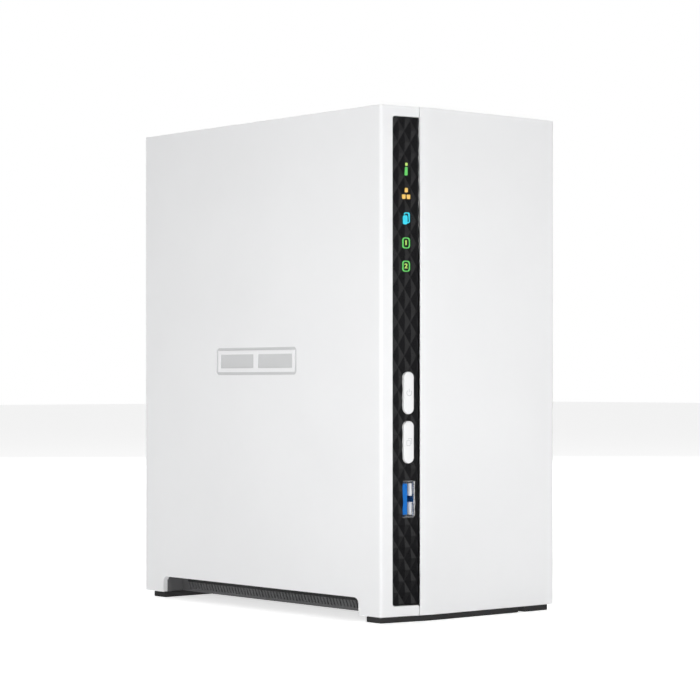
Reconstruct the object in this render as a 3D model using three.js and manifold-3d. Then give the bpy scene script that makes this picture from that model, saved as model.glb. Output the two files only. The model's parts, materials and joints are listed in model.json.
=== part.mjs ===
// A two-bay network attached storage box: two white covers round a steel drive cage, a faceted black
// front strip with buttons and a USB port, a vertical mainboard, two 3.5 inch drives and an 80 mm fan.
// Millimetres, +Z up, the front faces -Y, and the origin is under the middle, on the surface it stands on.
import * as THREE from "three";
import { mergeVertices } from "three/addons/utils/BufferGeometryUtils.js";
import Module from "manifold-3d";

const wasm = await Module();
wasm.setup();

// ---- driving dimensions ----

const bodyW = 86; // over the two side walls
const bodyD = 150; // front face to the covers' rear edge
const bodyH = 186.4; // covers, without the feet
const footH = 2.1;
const liftH = 0.1; // covers hang this far above the feet
const wall = 2.2; // cover wall
const fit = 0.3; // clearance between pieces that meet
const seat = 0.1; // clearance between a piece and what it is screwed or soldered to
const cornerR = 1.2; // upright corners of the covers

const facetW = 21.9; // width of the angled part of the front, seen from the front
const facetRecess = 3.7; // how far its outer edge lies behind the front face
const seamS = 16.8; // along the facet, from the outer corner to the seam of the covers
const seamGap = 0.4;

const legL = 12.3; // length of a cover's leg at each end of the side air gap
const airGapH = 6.4;
const airGapDepth = 10;
const airGapR = 2.4;

const stripS = 5.2; // along the facet, to the window of the black strip
const stripMargin = 3.8; // white band above and below the strip
const stripInset = 0.35; // relief peaks lie this far behind the facet
const reliefH = 0.45;
const diamondW = 5.34;
const diamondH = 8.23;
const diamondTop = 9.0; // first peak, below the top of the covers

const controlShift = 1.1; // buttons and port lie this far from the strip's middle, towards the seam
const buttonW = 4.6;
const buttonH = 15.6;
const buttonProud = 0.8;
const buttonTravel = 0.8;
const powerZ = 83.8;
const copyZ = 65.8;
const iconZ = [165.6, 156.8, 147.9, 138.6, 130.1];

const usbW = 5.75; // shell, across the tongue
const usbH = 13.15;
const usbL = 13;
const usbWall = 0.35;
const frontUsbZ = 44.9;
const frontUsbIn = 0.2; // its shell starts this far behind the facet

const boardT = 1.6;
const mainboardInset = 15.4; // left side to the mainboard's component face
const mainboardFrontInset = 19.1;
const mainboardRearInset = 6.9;
const mainboardLift = 1; // above the cage's underside
const mainboardTop = 172;
const mainboardStep = 96; // above this the fan takes the rear of the case

const driveL = 147; // long side, upright here
const driveW = 101.6;
const driveT = 26.1;
const driveLift = 11; // above the cage's underside
const driveInset = 13.5; // front face to the drives
const platterDepth = 13.5; // hollow of the casting, under its lid

const sheet = 1; // steel of the cage
const boardStandoff = 2.5; // mainboard to cage
const cageRightInset = 9.1; // right side to the cage
const cageLift = 0.8; // above the rim of the tray
const cageOver = 5; // above the drives

const fanSize = 80;
const fanT = 25;
const fanZ = 139.5;
const fanRim = 2; // thinnest part of the frame, round the bore
const fanHubR = 18.5;
const fanHoleInset = 4.25; // from the frame's edges to its screw holes
const fanBlades = 7;

const panelT = 1.2; // rear panel
const panelInset = 1.2; // behind the covers' rear edge
const thumbInset = 6.1; // right side to the thumbscrews
const thumbZ = [24, 91];
const thumbHeadL = 5.2;
const thumbHeadR = 3.5;
const thumbShankR = 1.5;

const jackZ = 24;
const lanZ = 44;
const rearUsbZ = [63.6, 80.2];
const resetZ = 92;
const lockSlot = [3, 7];

// ---- places worked out from them ----

const panelFar = panelInset - 0.2 - thumbHeadL; // thumbscrew heads stand out past the rear edge by minus this
const overallD = bodyD - panelFar;
const front = -overallD / 2;
const rear = front + bodyD;
const left = -bodyW / 2;
const right = bodyW / 2;
const bottom = footH + liftH;
const top = bottom + bodyH;
const innerLeft = left + wall;
const innerRight = right - wall;
const innerFront = front + wall;
const innerTop = top - wall;
const panelOuter = rear - panelInset;
const panelInner = panelOuter - panelT;

const mainboardX = left + mainboardInset;
const mainboardFront = front + mainboardFrontInset;
const mainboardRear = rear - mainboardRearInset;
const cageLeft = mainboardX + boardT + boardStandoff;
const cageRight = right - cageRightInset;
const driveFront = front + driveInset;
const thumbX = right - thumbInset;

const facetAngle = Math.atan2(facetRecess, facetW);
const facetL = Math.hypot(facetRecess, facetW);
const seamX = left + seamS * Math.cos(facetAngle);
const stripMidS = (stripS + seamS) / 2;
const controlS = stripMidS + controlShift;
const stripBottom = bottom + stripMargin;
const stripTop = top - stripMargin;

const legFront = front + facetRecess + legL;
const legRear = rear - legL;
const airGapTop = bottom + airGapH;
const rimTop = airGapTop + 3.6;
const cageBottom = rimTop + cageLift;
const mainboardBottom = cageBottom + mainboardLift;
const driveBottom = cageBottom + driveLift;
const cageTop = driveBottom + driveL + cageOver;
const fanBoreR = fanSize / 2 - fanRim;
const fanHoleStep = fanSize - 2 * fanHoleInset;

const flangeY = wall + fit; // depths behind the facet
const flangeT = 1.5;
const flangeLap = stripMargin - wall - fit - seat; // above and below the strip's window
const flangeBack = flangeY + flangeT;
const stemEnd = flangeBack + 4;
const boardY = usbL + 0.2;

const fanRear = panelInner - 0.2;
const fanFront = fanRear - fanT;
const driveGap = (cageRight - cageLeft - 2 * sheet - 2 * driveT) / 3;
const driveX = [cageLeft + sheet + driveGap, cageLeft + sheet + 2 * driveGap + driveT];
const cageFront = driveFront - fit - sheet;
const cageRear = driveFront + driveW + 2;
const backplaneZ = cageBottom + 4;
const backplaneY = [driveFront + 23.6, driveFront + 93.6];

// ---- finishes ----

const finish = (color, roughness, metalness = 0) =>
  new THREE.MeshStandardMaterial({ color, roughness, metalness });
const whitePlastic = finish(0xf0f0f0, 0.45);
const blackGloss = finish(0x151515, 0.3);
const darkPlastic = finish(0x2a2b2d, 0.6);
const rubber = finish(0x141414, 0.9);
const clearPlastic = finish(0xe6f2ea, 0.15);
const bluePlastic = finish(0x0b5fc4, 0.4);
const whiteInsert = finish(0xe2e2dc, 0.5);
const steel = finish(0xb8bbbe, 0.35, 0.9);
const platedSteel = finish(0xc9ccd0, 0.2, 1);
const paintedSteel = finish(0x3a3c3f, 0.55, 0.3);
const castAluminium = finish(0x9a9c9f, 0.5, 0.8);
const boardGreen = finish(0x0f4a2c, 0.5);
const chipBlack = finish(0x1b1c1e, 0.55);
const heatsinkGrey = finish(0x8d9094, 0.35, 0.9);

// ---- shaping helpers ----

const X = new THREE.Vector3(1, 0, 0);
const Y = new THREE.Vector3(0, 1, 0);
const Z = new THREE.Vector3(0, 0, 1);

// A closed three.js geometry as a solid that can be joined and cut.
function solid(geometry) {
  const bare = geometry.index ? geometry.clone() : geometry.clone();
  bare.deleteAttribute("normal");
  bare.deleteAttribute("uv");
  const merged = mergeVertices(bare, 1e-4);
  return new wasm.Manifold(
    new wasm.Mesh({
      numProp: 3,
      vertProperties: new Float32Array(merged.attributes.position.array),
      triVerts: new Uint32Array(merged.index.array),
    }),
  );
}

function geometryOf(shape) {
  const mesh = shape.getMesh();
  return new THREE.BufferGeometry()
    .setAttribute("position", new THREE.BufferAttribute(new Float32Array(mesh.vertProperties), 3))
    .setIndex(new THREE.BufferAttribute(new Uint32Array(mesh.triVerts), 1));
}

const joined = (shapes) => shapes.reduce((a, b) => a.add(b));
const cut = (body, tools) => tools.reduce((a, b) => a.subtract(b), body);

// A box between two corners, given as [from, to] along each axis.
function block(x, y, z) {
  const g = new THREE.BoxGeometry(x[1] - x[0], y[1] - y[0], z[1] - z[0]);
  return solid(g.translate((x[0] + x[1]) / 2, (y[0] + y[1]) / 2, (z[0] + z[1]) / 2));
}

// A box given by its middle and its size.
const slab = (at, size) =>
  block(
    [at[0] - size[0] / 2, at[0] + size[0] / 2],
    [at[1] - size[1] / 2, at[1] + size[1] / 2],
    [at[2] - size[2] / 2, at[2] + size[2] / 2],
  );

// An outline drawn in the plane square to an axis, pushed along it from one place to another.
// Seen along Z the outline is (x, y), along X it is (y, z), and along Y it is (x, z).
function prism(outline, axis, from, to, curveSegments = 8) {
  const shape = outline instanceof THREE.Shape
    ? outline
    : new THREE.Shape(outline.map((p) => new THREE.Vector2(...p)));
  const g = new THREE.ExtrudeGeometry(shape, { depth: to - from, bevelEnabled: false, curveSegments });
  const turn = new THREE.Matrix4();
  if (axis === X) turn.makeBasis(Y, Z, X).setPosition(from, 0, 0);
  if (axis === Y) turn.makeBasis(X, Z, Y.clone().negate()).setPosition(0, to, 0);
  if (axis === Z) turn.setPosition(0, 0, from);
  return solid(g.applyMatrix4(turn));
}

// A round bar along an axis; a smaller second radius makes it a cone towards the far end.
function rod(axis, at, radius, from, to, sides = 24, farRadius = radius) {
  const g = new THREE.CylinderGeometry(farRadius, radius, to - from, sides);
  g.translate(0, (to + from) / 2, 0);
  if (axis === X) g.rotateZ(-Math.PI / 2).translate(0, at[0], at[1]);
  if (axis === Y) g.translate(at[0], 0, at[1]);
  if (axis === Z) g.rotateX(Math.PI / 2).translate(at[0], at[1], 0);
  return solid(g);
}

// A rectangle with round corners, as an outline.
function roundedRect(x0, x1, y0, y1, r) {
  const s = new THREE.Shape();
  s.moveTo(x0 + r, y0).lineTo(x1 - r, y0).absarc(x1 - r, y0 + r, r, -Math.PI / 2, 0);
  s.lineTo(x1, y1 - r).absarc(x1 - r, y1 - r, r, 0, Math.PI / 2);
  s.lineTo(x0 + r, y1).absarc(x0 + r, y1 - r, r, Math.PI / 2, Math.PI);
  s.lineTo(x0, y0 + r).absarc(x0 + r, y0 + r, r, Math.PI, 1.5 * Math.PI);
  return s;
}

// An upright slot with half-round ends, as an outline centred on a point.
const pill = (x, z, w, h) => roundedRect(x - w / 2, x + w / 2, z - h / 2, z + h / 2, w / 2 - 1e-3);

// ---- the group and its facet frame ----

const nas = new THREE.Group();

// Pieces on the angled part of the front are drawn with x along the facet from the outer corner,
// y into the case and z up.
const facet = new THREE.Group();
facet.position.set(left, front + facetRecess, 0);
facet.rotation.z = -facetAngle;
facet.updateMatrix();
nas.add(facet);

function piece(name, shape, material, parent = nas) {
  const mesh = new THREE.Mesh(geometryOf(shape), material);
  mesh.name = name;
  parent.add(mesh);
  return mesh;
}

// A tool drawn in the facet's frame, for cutting a piece that is drawn square to the case.
const onFacet = (shape) => solid(geometryOf(shape).applyMatrix4(facet.matrix));

// ---- covers ----

// Plan of the case, drawn in by t, with its two front corners rounded.
function plan(t, radius, back) {
  const lean = facetAngle / 2;
  const crease = left + facetW + t * Math.tan(lean);
  const cornerY = front + facetRecess + t / Math.cos(facetAngle) - t * Math.tan(facetAngle);
  const s = new THREE.Shape();
  s.moveTo(left + t, back);
  s.lineTo(left + t, cornerY + radius);
  s.quadraticCurveTo(
    left + t, cornerY, left + t + radius * Math.cos(facetAngle), cornerY - radius * Math.sin(facetAngle),
  );
  s.lineTo(crease, front + t);
  s.lineTo(right - t - radius, front + t);
  s.absarc(right - t - radius, front + t + radius, radius, -Math.PI / 2, 0);
  s.lineTo(right - t, back);
  s.closePath();
  return s;
}

// Both covers in one piece: a box with no bottom and no back, and the air gap cut along each side.
function housing() {
  const outside = prism(plan(0, cornerR, rear), Z, bottom, top, 5);
  const inside = prism(plan(wall, cornerR / 2, rear + 1), Z, bottom - 1, innerTop, 5);
  const gapOutline = roundedRect(legFront, legRear, bottom - airGapR - 5, airGapTop, airGapR);
  const gap = prism(gapOutline, X, left - 1, right + 1, 5);
  return cut(outside, [inside, gap]);
}

const stripWindow = () =>
  onFacet(prism(roundedRect(stripS, seamS + 6, stripBottom, stripTop, 1), Y, -2, flangeY, 4));

// The mark on the left side: two drive bays in a frame, pressed in by markDepth.
function sideMark() {
  const markDepth = 0.4;
  const at = { y: front + 77, z: 95.9, w: 50, h: 10.6, line: 1.1 };
  const bay = { w: 21, h: 5.4, fromMiddle: 11.9 };
  const inX = left + markDepth;
  const edge = roundedRect(at.y - at.w / 2, at.y + at.w / 2, at.z - at.h / 2, at.z + at.h / 2, 1.6);
  const frame = cut(prism(edge, X, left - 1, inX), [
    block([left - 2, inX + 1], [at.y - at.w / 2 + at.line, at.y + at.w / 2 - at.line],
      [at.z - at.h / 2 + at.line, at.z + at.h / 2 - at.line]),
  ]);
  const bays = [-1, 1].map((side) =>
    slab([left - 0.5 + markDepth / 2, at.y + side * bay.fromMiddle, at.z], [1 + markDepth, bay.w, bay.h]));
  return [frame, ...bays];
}

function leftCover() {
  const side = block([left - 1, seamX - seamGap / 2], [front - 1, rear + 1], [0, top + 1]);
  const half = housing().intersect(side);
  const lipBack = panelInner - fit;
  const lipFront = innerFront + 6;
  const lip = joined([
    block([seamX - 5, seamX - seamGap / 2], [lipFront, lipBack], [innerTop - 1.5, innerTop + 0.5]),
    block([seamX - 5, seamX + 3], [lipFront, lipBack], [innerTop - 1.5, innerTop - fit]),
  ]);
  const fanLow = fanZ - fanSize / 2;
  const fanHigh = fanZ + fanSize / 2;
  const panelStops = [[rimTop + 1.8, 32], [54, fanLow - 3], [fanHigh + 1.5, innerTop - 1]].map((z) =>
    block([innerLeft - 0.5, innerLeft + 1.4], [panelInner - 2.3, panelInner - fit], z));
  const ribs = [front + 47, rear - 48].map((y) =>
    block([innerLeft - 0.5, innerLeft + 0.8], [y, y + 1.4], [rimTop + 1.8, innerTop + 0.5]));
  return cut(joined([half, lip, ...panelStops, ...ribs]), [stripWindow(), ...sideMark()]);
}

function rightCover() {
  const side = block([seamX + seamGap / 2, right + 1], [front - 1, rear + 1], [0, top + 1]);
  const half = housing().intersect(side);
  const bosses = thumbZ.map((z) =>
    cut(block([cageRight + 0.4, innerRight + 0.5], [panelInner - 8, panelInner - fit], [z - 4.5, z + 4.5]), [
      rod(Y, [thumbX, z], thumbShankR + 0.15, panelInner - 9, panelInner, 16),
    ]));
  const rails = [rimTop + 1.8, top - 7].map((z) =>
    block([innerRight - 0.7, innerRight + 0.5], [innerFront + 8, panelInner - 3], [z, z + 1.5]));
  const besideStrip = block([seamS - 4, seamS + seamGap / 2], [-2, flangeY], [stripBottom, stripTop]);
  return cut(joined([half, ...bosses, ...rails]), [onFacet(besideStrip)]);
}

piece("left_cover", leftCover(), whitePlastic);
piece("right_cover", rightCover(), whitePlastic);

// ---- base and feet ----

// A tray that is narrow beside the air gaps, with a shelf over each gap and slots for the air.
function baseTub() {
  const floorT = 1.8;
  const shelfT = 0.72; // of the floor's thickness
  const midX = [left + airGapDepth, right - airGapDepth];
  const tubRear = panelInner - fit;
  // The space beside the narrow middle, drawn wider by t on every side that faces the tray.
  const waist = (t) =>
    [[left - 1, midX[0] + t], [midX[1] - t, right + 1]].map((x) =>
      block(x, [legFront - fit - t, legRear + fit + t], [0, airGapTop + fit + t * shelfT]));
  const shell = cut(prism(plan(wall + fit, 0.8, tubRear), Z, bottom, rimTop, 3), waist(0));
  const inside = prism(plan(wall + fit + floorT, 0.6, tubRear - floorT), Z, bottom + floorT, rimTop + 1, 3);
  const body = cut(shell, [cut(inside, waist(floorT))]);
  const slotPitch = 1.9;
  const slotW = 0.85;
  const slotZ = [bottom + 1.1, bottom + 3.8];
  const slotLean = 1.35;
  const slotCount = Math.floor((legRear - legFront - 6) / slotPitch);
  const firstSlot = (legFront + legRear - (slotCount - 1) * slotPitch) / 2;
  const slots = [];
  for (let i = 0; i < slotCount; i++) {
    const y = firstSlot + i * slotPitch;
    const outline = [
      [y - slotW / 2 - slotLean / 2, slotZ[0]],
      [y + slotW / 2 - slotLean / 2, slotZ[0]],
      [y + slotW / 2 + slotLean / 2, slotZ[1]],
      [y - slotW / 2 + slotLean / 2, slotZ[1]],
    ];
    slots.push(prism(outline, X, midX[0] - 1, midX[0] + floorT + 1));
    slots.push(prism(outline, X, midX[1] - floorT - 1, midX[1] + 1));
  }
  const posts = [-1, 1].flatMap((side) =>
    [driveFront + 12, rear - 25].map((y) => rod(Z, [side * 24, y], 3, bottom + 1, cageBottom - seat, 16)));
  const stripSpace = block([stripS - 2.2, seamS + 2.8], [0, flangeBack + fit], [bottom + floorT, rimTop + 1]);
  return cut(joined([body, ...posts]), [...slots, onFacet(stripSpace)]);
}

piece("base_tub", baseTub(), darkPlastic);

// Each end of the case stands on a long and a short rubber bar; the bars follow the facet at the front.
function foot(x, y, facetSide) {
  const z = [0, footH];
  if (!facetSide) return prism(roundedRect(x[0], x[1], y[0], y[1], 0.8), Z, z[0], z[1], 3);
  const s = new THREE.Shape();
  const cornerY = front + facetRecess + facetSide;
  s.moveTo(x[0], y[1]);
  s.lineTo(x[0], cornerY);
  s.lineTo(left + facetW, y[0]);
  s.lineTo(x[1], y[0]);
  s.lineTo(x[1], y[1]);
  s.closePath();
  return prism(s, Z, z[0], z[1]);
}

const footEdge = 0.3; // feet stay this far inside the outline of the case
const footL = 8.2;
const footSplit = right - 19; // where the long bar ends
const footFrontY = [front + footEdge, front + facetRecess + footL];
const footRearY = [rear - 5 - footL, rear - 5];
piece("foot_front_long", foot([left + footEdge, footSplit], footFrontY, footEdge), rubber);
piece("foot_front_short", foot([footSplit + 3.2, right - 3], footFrontY), rubber);
piece("foot_rear_long", foot([left + footEdge, footSplit], footRearY), rubber);
piece("foot_rear_short", foot([footSplit + 3.2, right - 3], footRearY), rubber);

// ---- front strip, its buttons, lights and USB port ----

// A plate whose face is a field of long four-sided pyramids. Peaks and valleys alternate on a grid of
// half-diamond steps, so each cell is two triangles that meet along a valley.
function reliefPlate(s, z, peakY, backY) {
  const stepS = diamondW / 2;
  const stepZ = diamondH / 2;
  const originS = stripMidS - 1.5 * stepS;
  const originZ = top - diamondTop;
  const range = (lo, hi, origin, step) =>
    [Math.floor((lo - origin) / step) - 1, Math.ceil((hi - origin) / step) + 1];
  const [i0, i1] = range(s[0], s[1], originS, stepS);
  const [j0, j1] = range(z[0], z[1], originZ, stepZ);
  const columns = i1 - i0 + 1;
  const rows = j1 - j0 + 1;
  const isPeak = (i, j) => (i + j) % 2 === 0;
  const points = [];
  for (const back of [false, true])
    for (let j = j0; j <= j1; j++)
      for (let i = i0; i <= i1; i++) {
        const y = back ? backY : peakY + (isPeak(i, j) ? 0 : reliefH);
        points.push(originS + i * stepS, y, originZ + j * stepZ);
      }
  const at = (i, j) => (j - j0) * columns + (i - i0);
  const behind = columns * rows;
  const faces = [];
  const quad = (a, b, c, d) => faces.push(a, b, c, a, c, d);
  for (let j = j0; j < j1; j++)
    for (let i = i0; i < i1; i++) {
      const [a, b, c, d] = [at(i, j), at(i + 1, j), at(i + 1, j + 1), at(i, j + 1)];
      if (isPeak(i, j)) faces.push(a, b, d, b, c, d);
      else faces.push(a, b, c, a, c, d);
      quad(behind + d, behind + c, behind + b, behind + a);
    }
  for (let i = i0; i < i1; i++) {
    quad(behind + at(i, j0), behind + at(i + 1, j0), at(i + 1, j0), at(i, j0));
    quad(at(i, j1), at(i + 1, j1), behind + at(i + 1, j1), behind + at(i, j1));
  }
  for (let j = j0; j < j1; j++) {
    quad(at(i0, j), at(i0, j + 1), behind + at(i0, j + 1), behind + at(i0, j));
    quad(behind + at(i1, j), behind + at(i1, j + 1), at(i1, j + 1), at(i1, j));
  }
  const g = new THREE.BufferGeometry();
  g.setAttribute("position", new THREE.BufferAttribute(new Float32Array(points), 3));
  g.setIndex(faces);
  return solid(g);
}

const lightPocket = { w: 4, h: 5.4 };

function frontStrip() {
  const s = [stripS + 0.15, seamS - 0.15];
  const z = [stripBottom + 0.15, stripTop - 0.15];
  // round corners at the outer edge, square ones at the seam
  const edge = prism(roundedRect(s[0], s[1] + 1, z[0], z[1], 0.9), Y, -1, flangeY + 0.5, 4).intersect(
    block([s[0] - 1, s[1]], [-2, flangeY + 1], [z[0] - 1, z[1] + 1]),
  );
  const plate = reliefPlate(s, z, stripInset, flangeY + 0.5).intersect(edge);
  const flangeZ = [stripBottom - flangeLap, stripTop + flangeLap];
  const flange = block([stripS - 1.8, seamS + 2.4], [flangeY, flangeBack], flangeZ);
  const posts = [34, 55, 100, 168].map((pz) => rod(Y, [5.2, pz], 1.3, flangeBack - 0.5, boardY - seat, 12));
  const holes = [
    ...[powerZ, copyZ].map((bz) =>
      prism(pill(controlS, bz, buttonW + 0.5, buttonH + 0.5), Y, -2, flangeBack + 1, 6)),
    slab([controlS, 1, frontUsbZ], [usbW + 0.5, 10, usbH + 0.5]),
    ...iconZ.map((iz) =>
      slab([stripMidS, (1.15 + flangeBack + 1) / 2, iz], [lightPocket.w, flangeBack + 1 - 1.15, lightPocket.h])),
  ];
  return cut(joined([plate, flange, ...posts]), holes);
}

// One clear moulding with a finger behind each icon.
function lightGuide() {
  const barY = [flangeBack + 3.5, flangeBack + 5.5];
  const barW = 3;
  const [fingerW, fingerH] = [lightPocket.w - 0.6, lightPocket.h - 0.6];
  const bar = block([stripMidS - barW / 2, stripMidS + barW / 2], barY, [iconZ[4] - 3, iconZ[0] + 3]);
  const fingers = iconZ.map((z) =>
    slab([stripMidS, (1.45 + barY[1]) / 2, z], [fingerW, barY[1] - 1.45, fingerH]));
  const feet = [iconZ[0], iconZ[4]].map((z) =>
    slab([stripMidS, (barY[0] + boardY - seat) / 2, z], [2, boardY - seat - barY[0], 2]));
  return joined([bar, ...fingers, ...feet]);
}

// A pill-shaped cap, with the shoulder that keeps it in the strip and the stem that reaches its switch.
function button(z) {
  const cap = joined([
    prism(pill(controlS, z, buttonW - 0.8, buttonH - 0.8), Y, -buttonProud, 0, 6),
    prism(pill(controlS, z, buttonW, buttonH), Y, -buttonProud + 0.35, flangeBack + fit + 0.2, 6),
  ]);
  const shoulderY = flangeBack + fit;
  const shoulder = prism(pill(controlS, z, buttonW + 2, buttonH + 1.6), Y, shoulderY, shoulderY + 1, 3);
  const stem = slab([controlS, (flangeBack + stemEnd) / 2 + 0.6, z], [2.4, stemEnd - flangeBack - 1.2, 3]);
  return joined([cap, shoulder, stem]);
}

const switchFront = stemEnd + 1.1;

const plunger = (z) => rod(Y, [controlS, z], 1.6, stemEnd + seat, stemEnd + 2.2, 16);

function tactSwitch(z) {
  const can = block([controlS - 3, controlS + 3], [switchFront, boardY - seat], [z - 3, z + 3]);
  return cut(can, [rod(Y, [controlS, z], 1.8, switchFront - 1, stemEnd + 2.3 + buttonTravel, 16)]);
}

function usbShell(deep) {
  const inner = [usbW - 2 * usbWall, usbH - 2 * usbWall];
  const flare = 0.35;
  const tube = slab([0, deep / 2, 0], [usbW, deep, usbH]);
  const lip = cut(slab([0, flare / 2, 0], [usbW + 0.36, flare, usbH + 0.36]), []);
  const hollow = block([-inner[0] / 2, inner[0] / 2], [-1, deep - usbWall], [-inner[1] / 2, inner[1] / 2]);
  const latches = [-1, 1].flatMap((zSide) =>
    [-1, 1].map((side) => slab([side * usbW / 2, 6, zSide * 3], [2, 3.4, 2])));
  return cut(joined([tube, lip]), [hollow, ...latches]);
}

// The plastic tongue of a USB port: a base that fills the back of the shell, and a blade with contact slots.
function usbTongue(deep, side, contacts) {
  const inner = [usbW - 2 * usbWall - 0.1, usbH - 2 * usbWall - 0.1];
  const bladeX = side * (inner[0] / 2 - 1.75);
  const base = slab([0, deep - usbWall - 0.1 - 1.6, 0], [inner[0], 3.2, inner[1]]);
  const blade = block([bladeX - 0.95, bladeX + 0.95], [1, deep - 3], [-5.5, 5.5]);
  const slots = [];
  for (let i = 0; i < contacts; i++) {
    const z = (i - (contacts - 1) / 2) * (8.2 / (contacts - 1));
    slots.push(slab([bladeX + side * 0.95, 3.4, z], [0.7, 6, 0.9]));
  }
  return cut(joined([base, blade]), slots);
}

function placed(mesh, x, y, z, turn = 0) {
  mesh.position.set(x, y, z);
  mesh.rotation.z = turn;
  return mesh;
}

function frontBoard() {
  const board = block([3.4, 16.2], [boardY, boardY + boardT], [31, 173]);
  const header = block([4.6, 11], [boardY + boardT - 0.2, boardY + boardT + 3.8], [106, 126]);
  return joined([board, header]);
}

piece("front_strip", frontStrip(), blackGloss, facet);
piece("light_guide", lightGuide(), clearPlastic, facet);
piece("front_board", frontBoard(), boardGreen, facet);
for (const [name, z] of [["power", powerZ], ["copy", copyZ]]) {
  piece(name + "_button", button(z), whitePlastic, facet);
  piece(name + "_plunger", plunger(z), chipBlack, facet);
  piece(name + "_switch", tactSwitch(z), platedSteel, facet);
}
const frontUsbL = usbL - seat - frontUsbIn;
const frontUsbMouth = seat + frontUsbIn;
placed(piece("front_usb_shell", usbShell(frontUsbL), platedSteel, facet), controlS, frontUsbMouth, frontUsbZ);
const frontTongue = piece("front_usb_tongue", usbTongue(frontUsbL, -1, 5), bluePlastic, facet);
placed(frontTongue, controlS, frontUsbMouth, frontUsbZ);

// ---- drive cage ----

function driveCage() {
  const y = [cageFront, cageRear];
  const tail = panelInner - seat - sheet;
  const box = cut(block([cageLeft, cageRight], y, [cageBottom, cageTop]), [
    block([cageLeft + sheet, cageRight - sheet], [y[0] + sheet, y[1] + 1], [cageBottom + sheet, cageTop + 1]),
  ]);
  const floorTail = block([cageLeft, cageRight], [y[1] - 1, tail + sheet], [cageBottom, cageBottom + sheet]);
  const rearTab = block([cageLeft, cageRight], [tail, tail + sheet], [cageBottom, cageBottom + 9]);
  const windows = [
    ...[[32, 88], [100, 164]].map((z) => block([cageLeft - 1, cageRight + 1], [y[0] + 16, y[1] - 12], z)),
    ...driveX.map((x) => block([x + 7.5, x + driveT - 3.5], [y[0] - 1, y[0] + 2], [30, 166])),
    block([cageLeft - 1, cageLeft + 2], [backplaneY[0] - 2, backplaneY[1] + 2],
      [backplaneZ - 0.6, backplaneZ + boardT + 0.6]),
    block([cageLeft + 5.5, cageRight - 5.9], [cageRear + 4, tail - 6], [cageBottom - 1, cageBottom + 2]),
  ];
  const standoffs = boardHoles.filter(([hy]) => hy < y[1]).map((p) =>
    rod(X, p, 3, mainboardX + boardT + seat, cageLeft + 0.5, 12));
  const body = cut(joined([box, floorTail, rearTab]), [...windows, ...screwPlaces().map(screwHole)]);
  return joined([body, ...standoffs]);
}

const boardHoles = [
  [mainboardFront + 5, mainboardBottom + 8],
  [mainboardFront + 5, mainboardTop - 5],
  [fanFront - 12, mainboardTop - 5],
  [fanFront - 12, mainboardBottom + 8],
];

// The four screws that hold the drives by their narrow sides, through the front of the cage.
function screwPlaces() {
  return driveX.flatMap((x) =>
    [28.5, 130.1].map((up) => ({ x: x + 4.2, y: cageFront, z: driveBottom + up })));
}

const screwShankR = 1.35;
const screwHole = (p) => rod(Y, [p.x, p.z], screwShankR + 0.35, p.y - 1, p.y + sheet + 1, 12);

// A pan-head screw along Y with a cross in its head; it points towards +Y when way is 1.
function screw(length, headR, way) {
  const flip = (a, b) => (way > 0 ? [a, b] : [-b, -a]);
  const [h0, h1] = flip(-1.6, 0);
  const [s0, s1] = flip(-0.4, length);
  const head = rod(Y, [0, 0], way > 0 ? headR * 0.78 : headR, h0, h1, 20, way > 0 ? headR : headR * 0.78);
  const shank = rod(Y, [0, 0], screwShankR, s0, s1, 12);
  const [c0, c1] = flip(-2, -0.8);
  const arms = [block([-1.5, 1.5], [c0, c1], [-0.32, 0.32]), block([-0.32, 0.32], [c0, c1], [-1.5, 1.5])];
  return cut(joined([head, shank]), arms);
}

piece("drive_cage", driveCage(), steel);
screwPlaces().forEach((p, i) =>
  placed(piece("drive_screw_" + (i + 1), screw(4.5, 2.7, 1), platedSteel), p.x, p.y - seat, p.z));

// ---- drives ----

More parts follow.
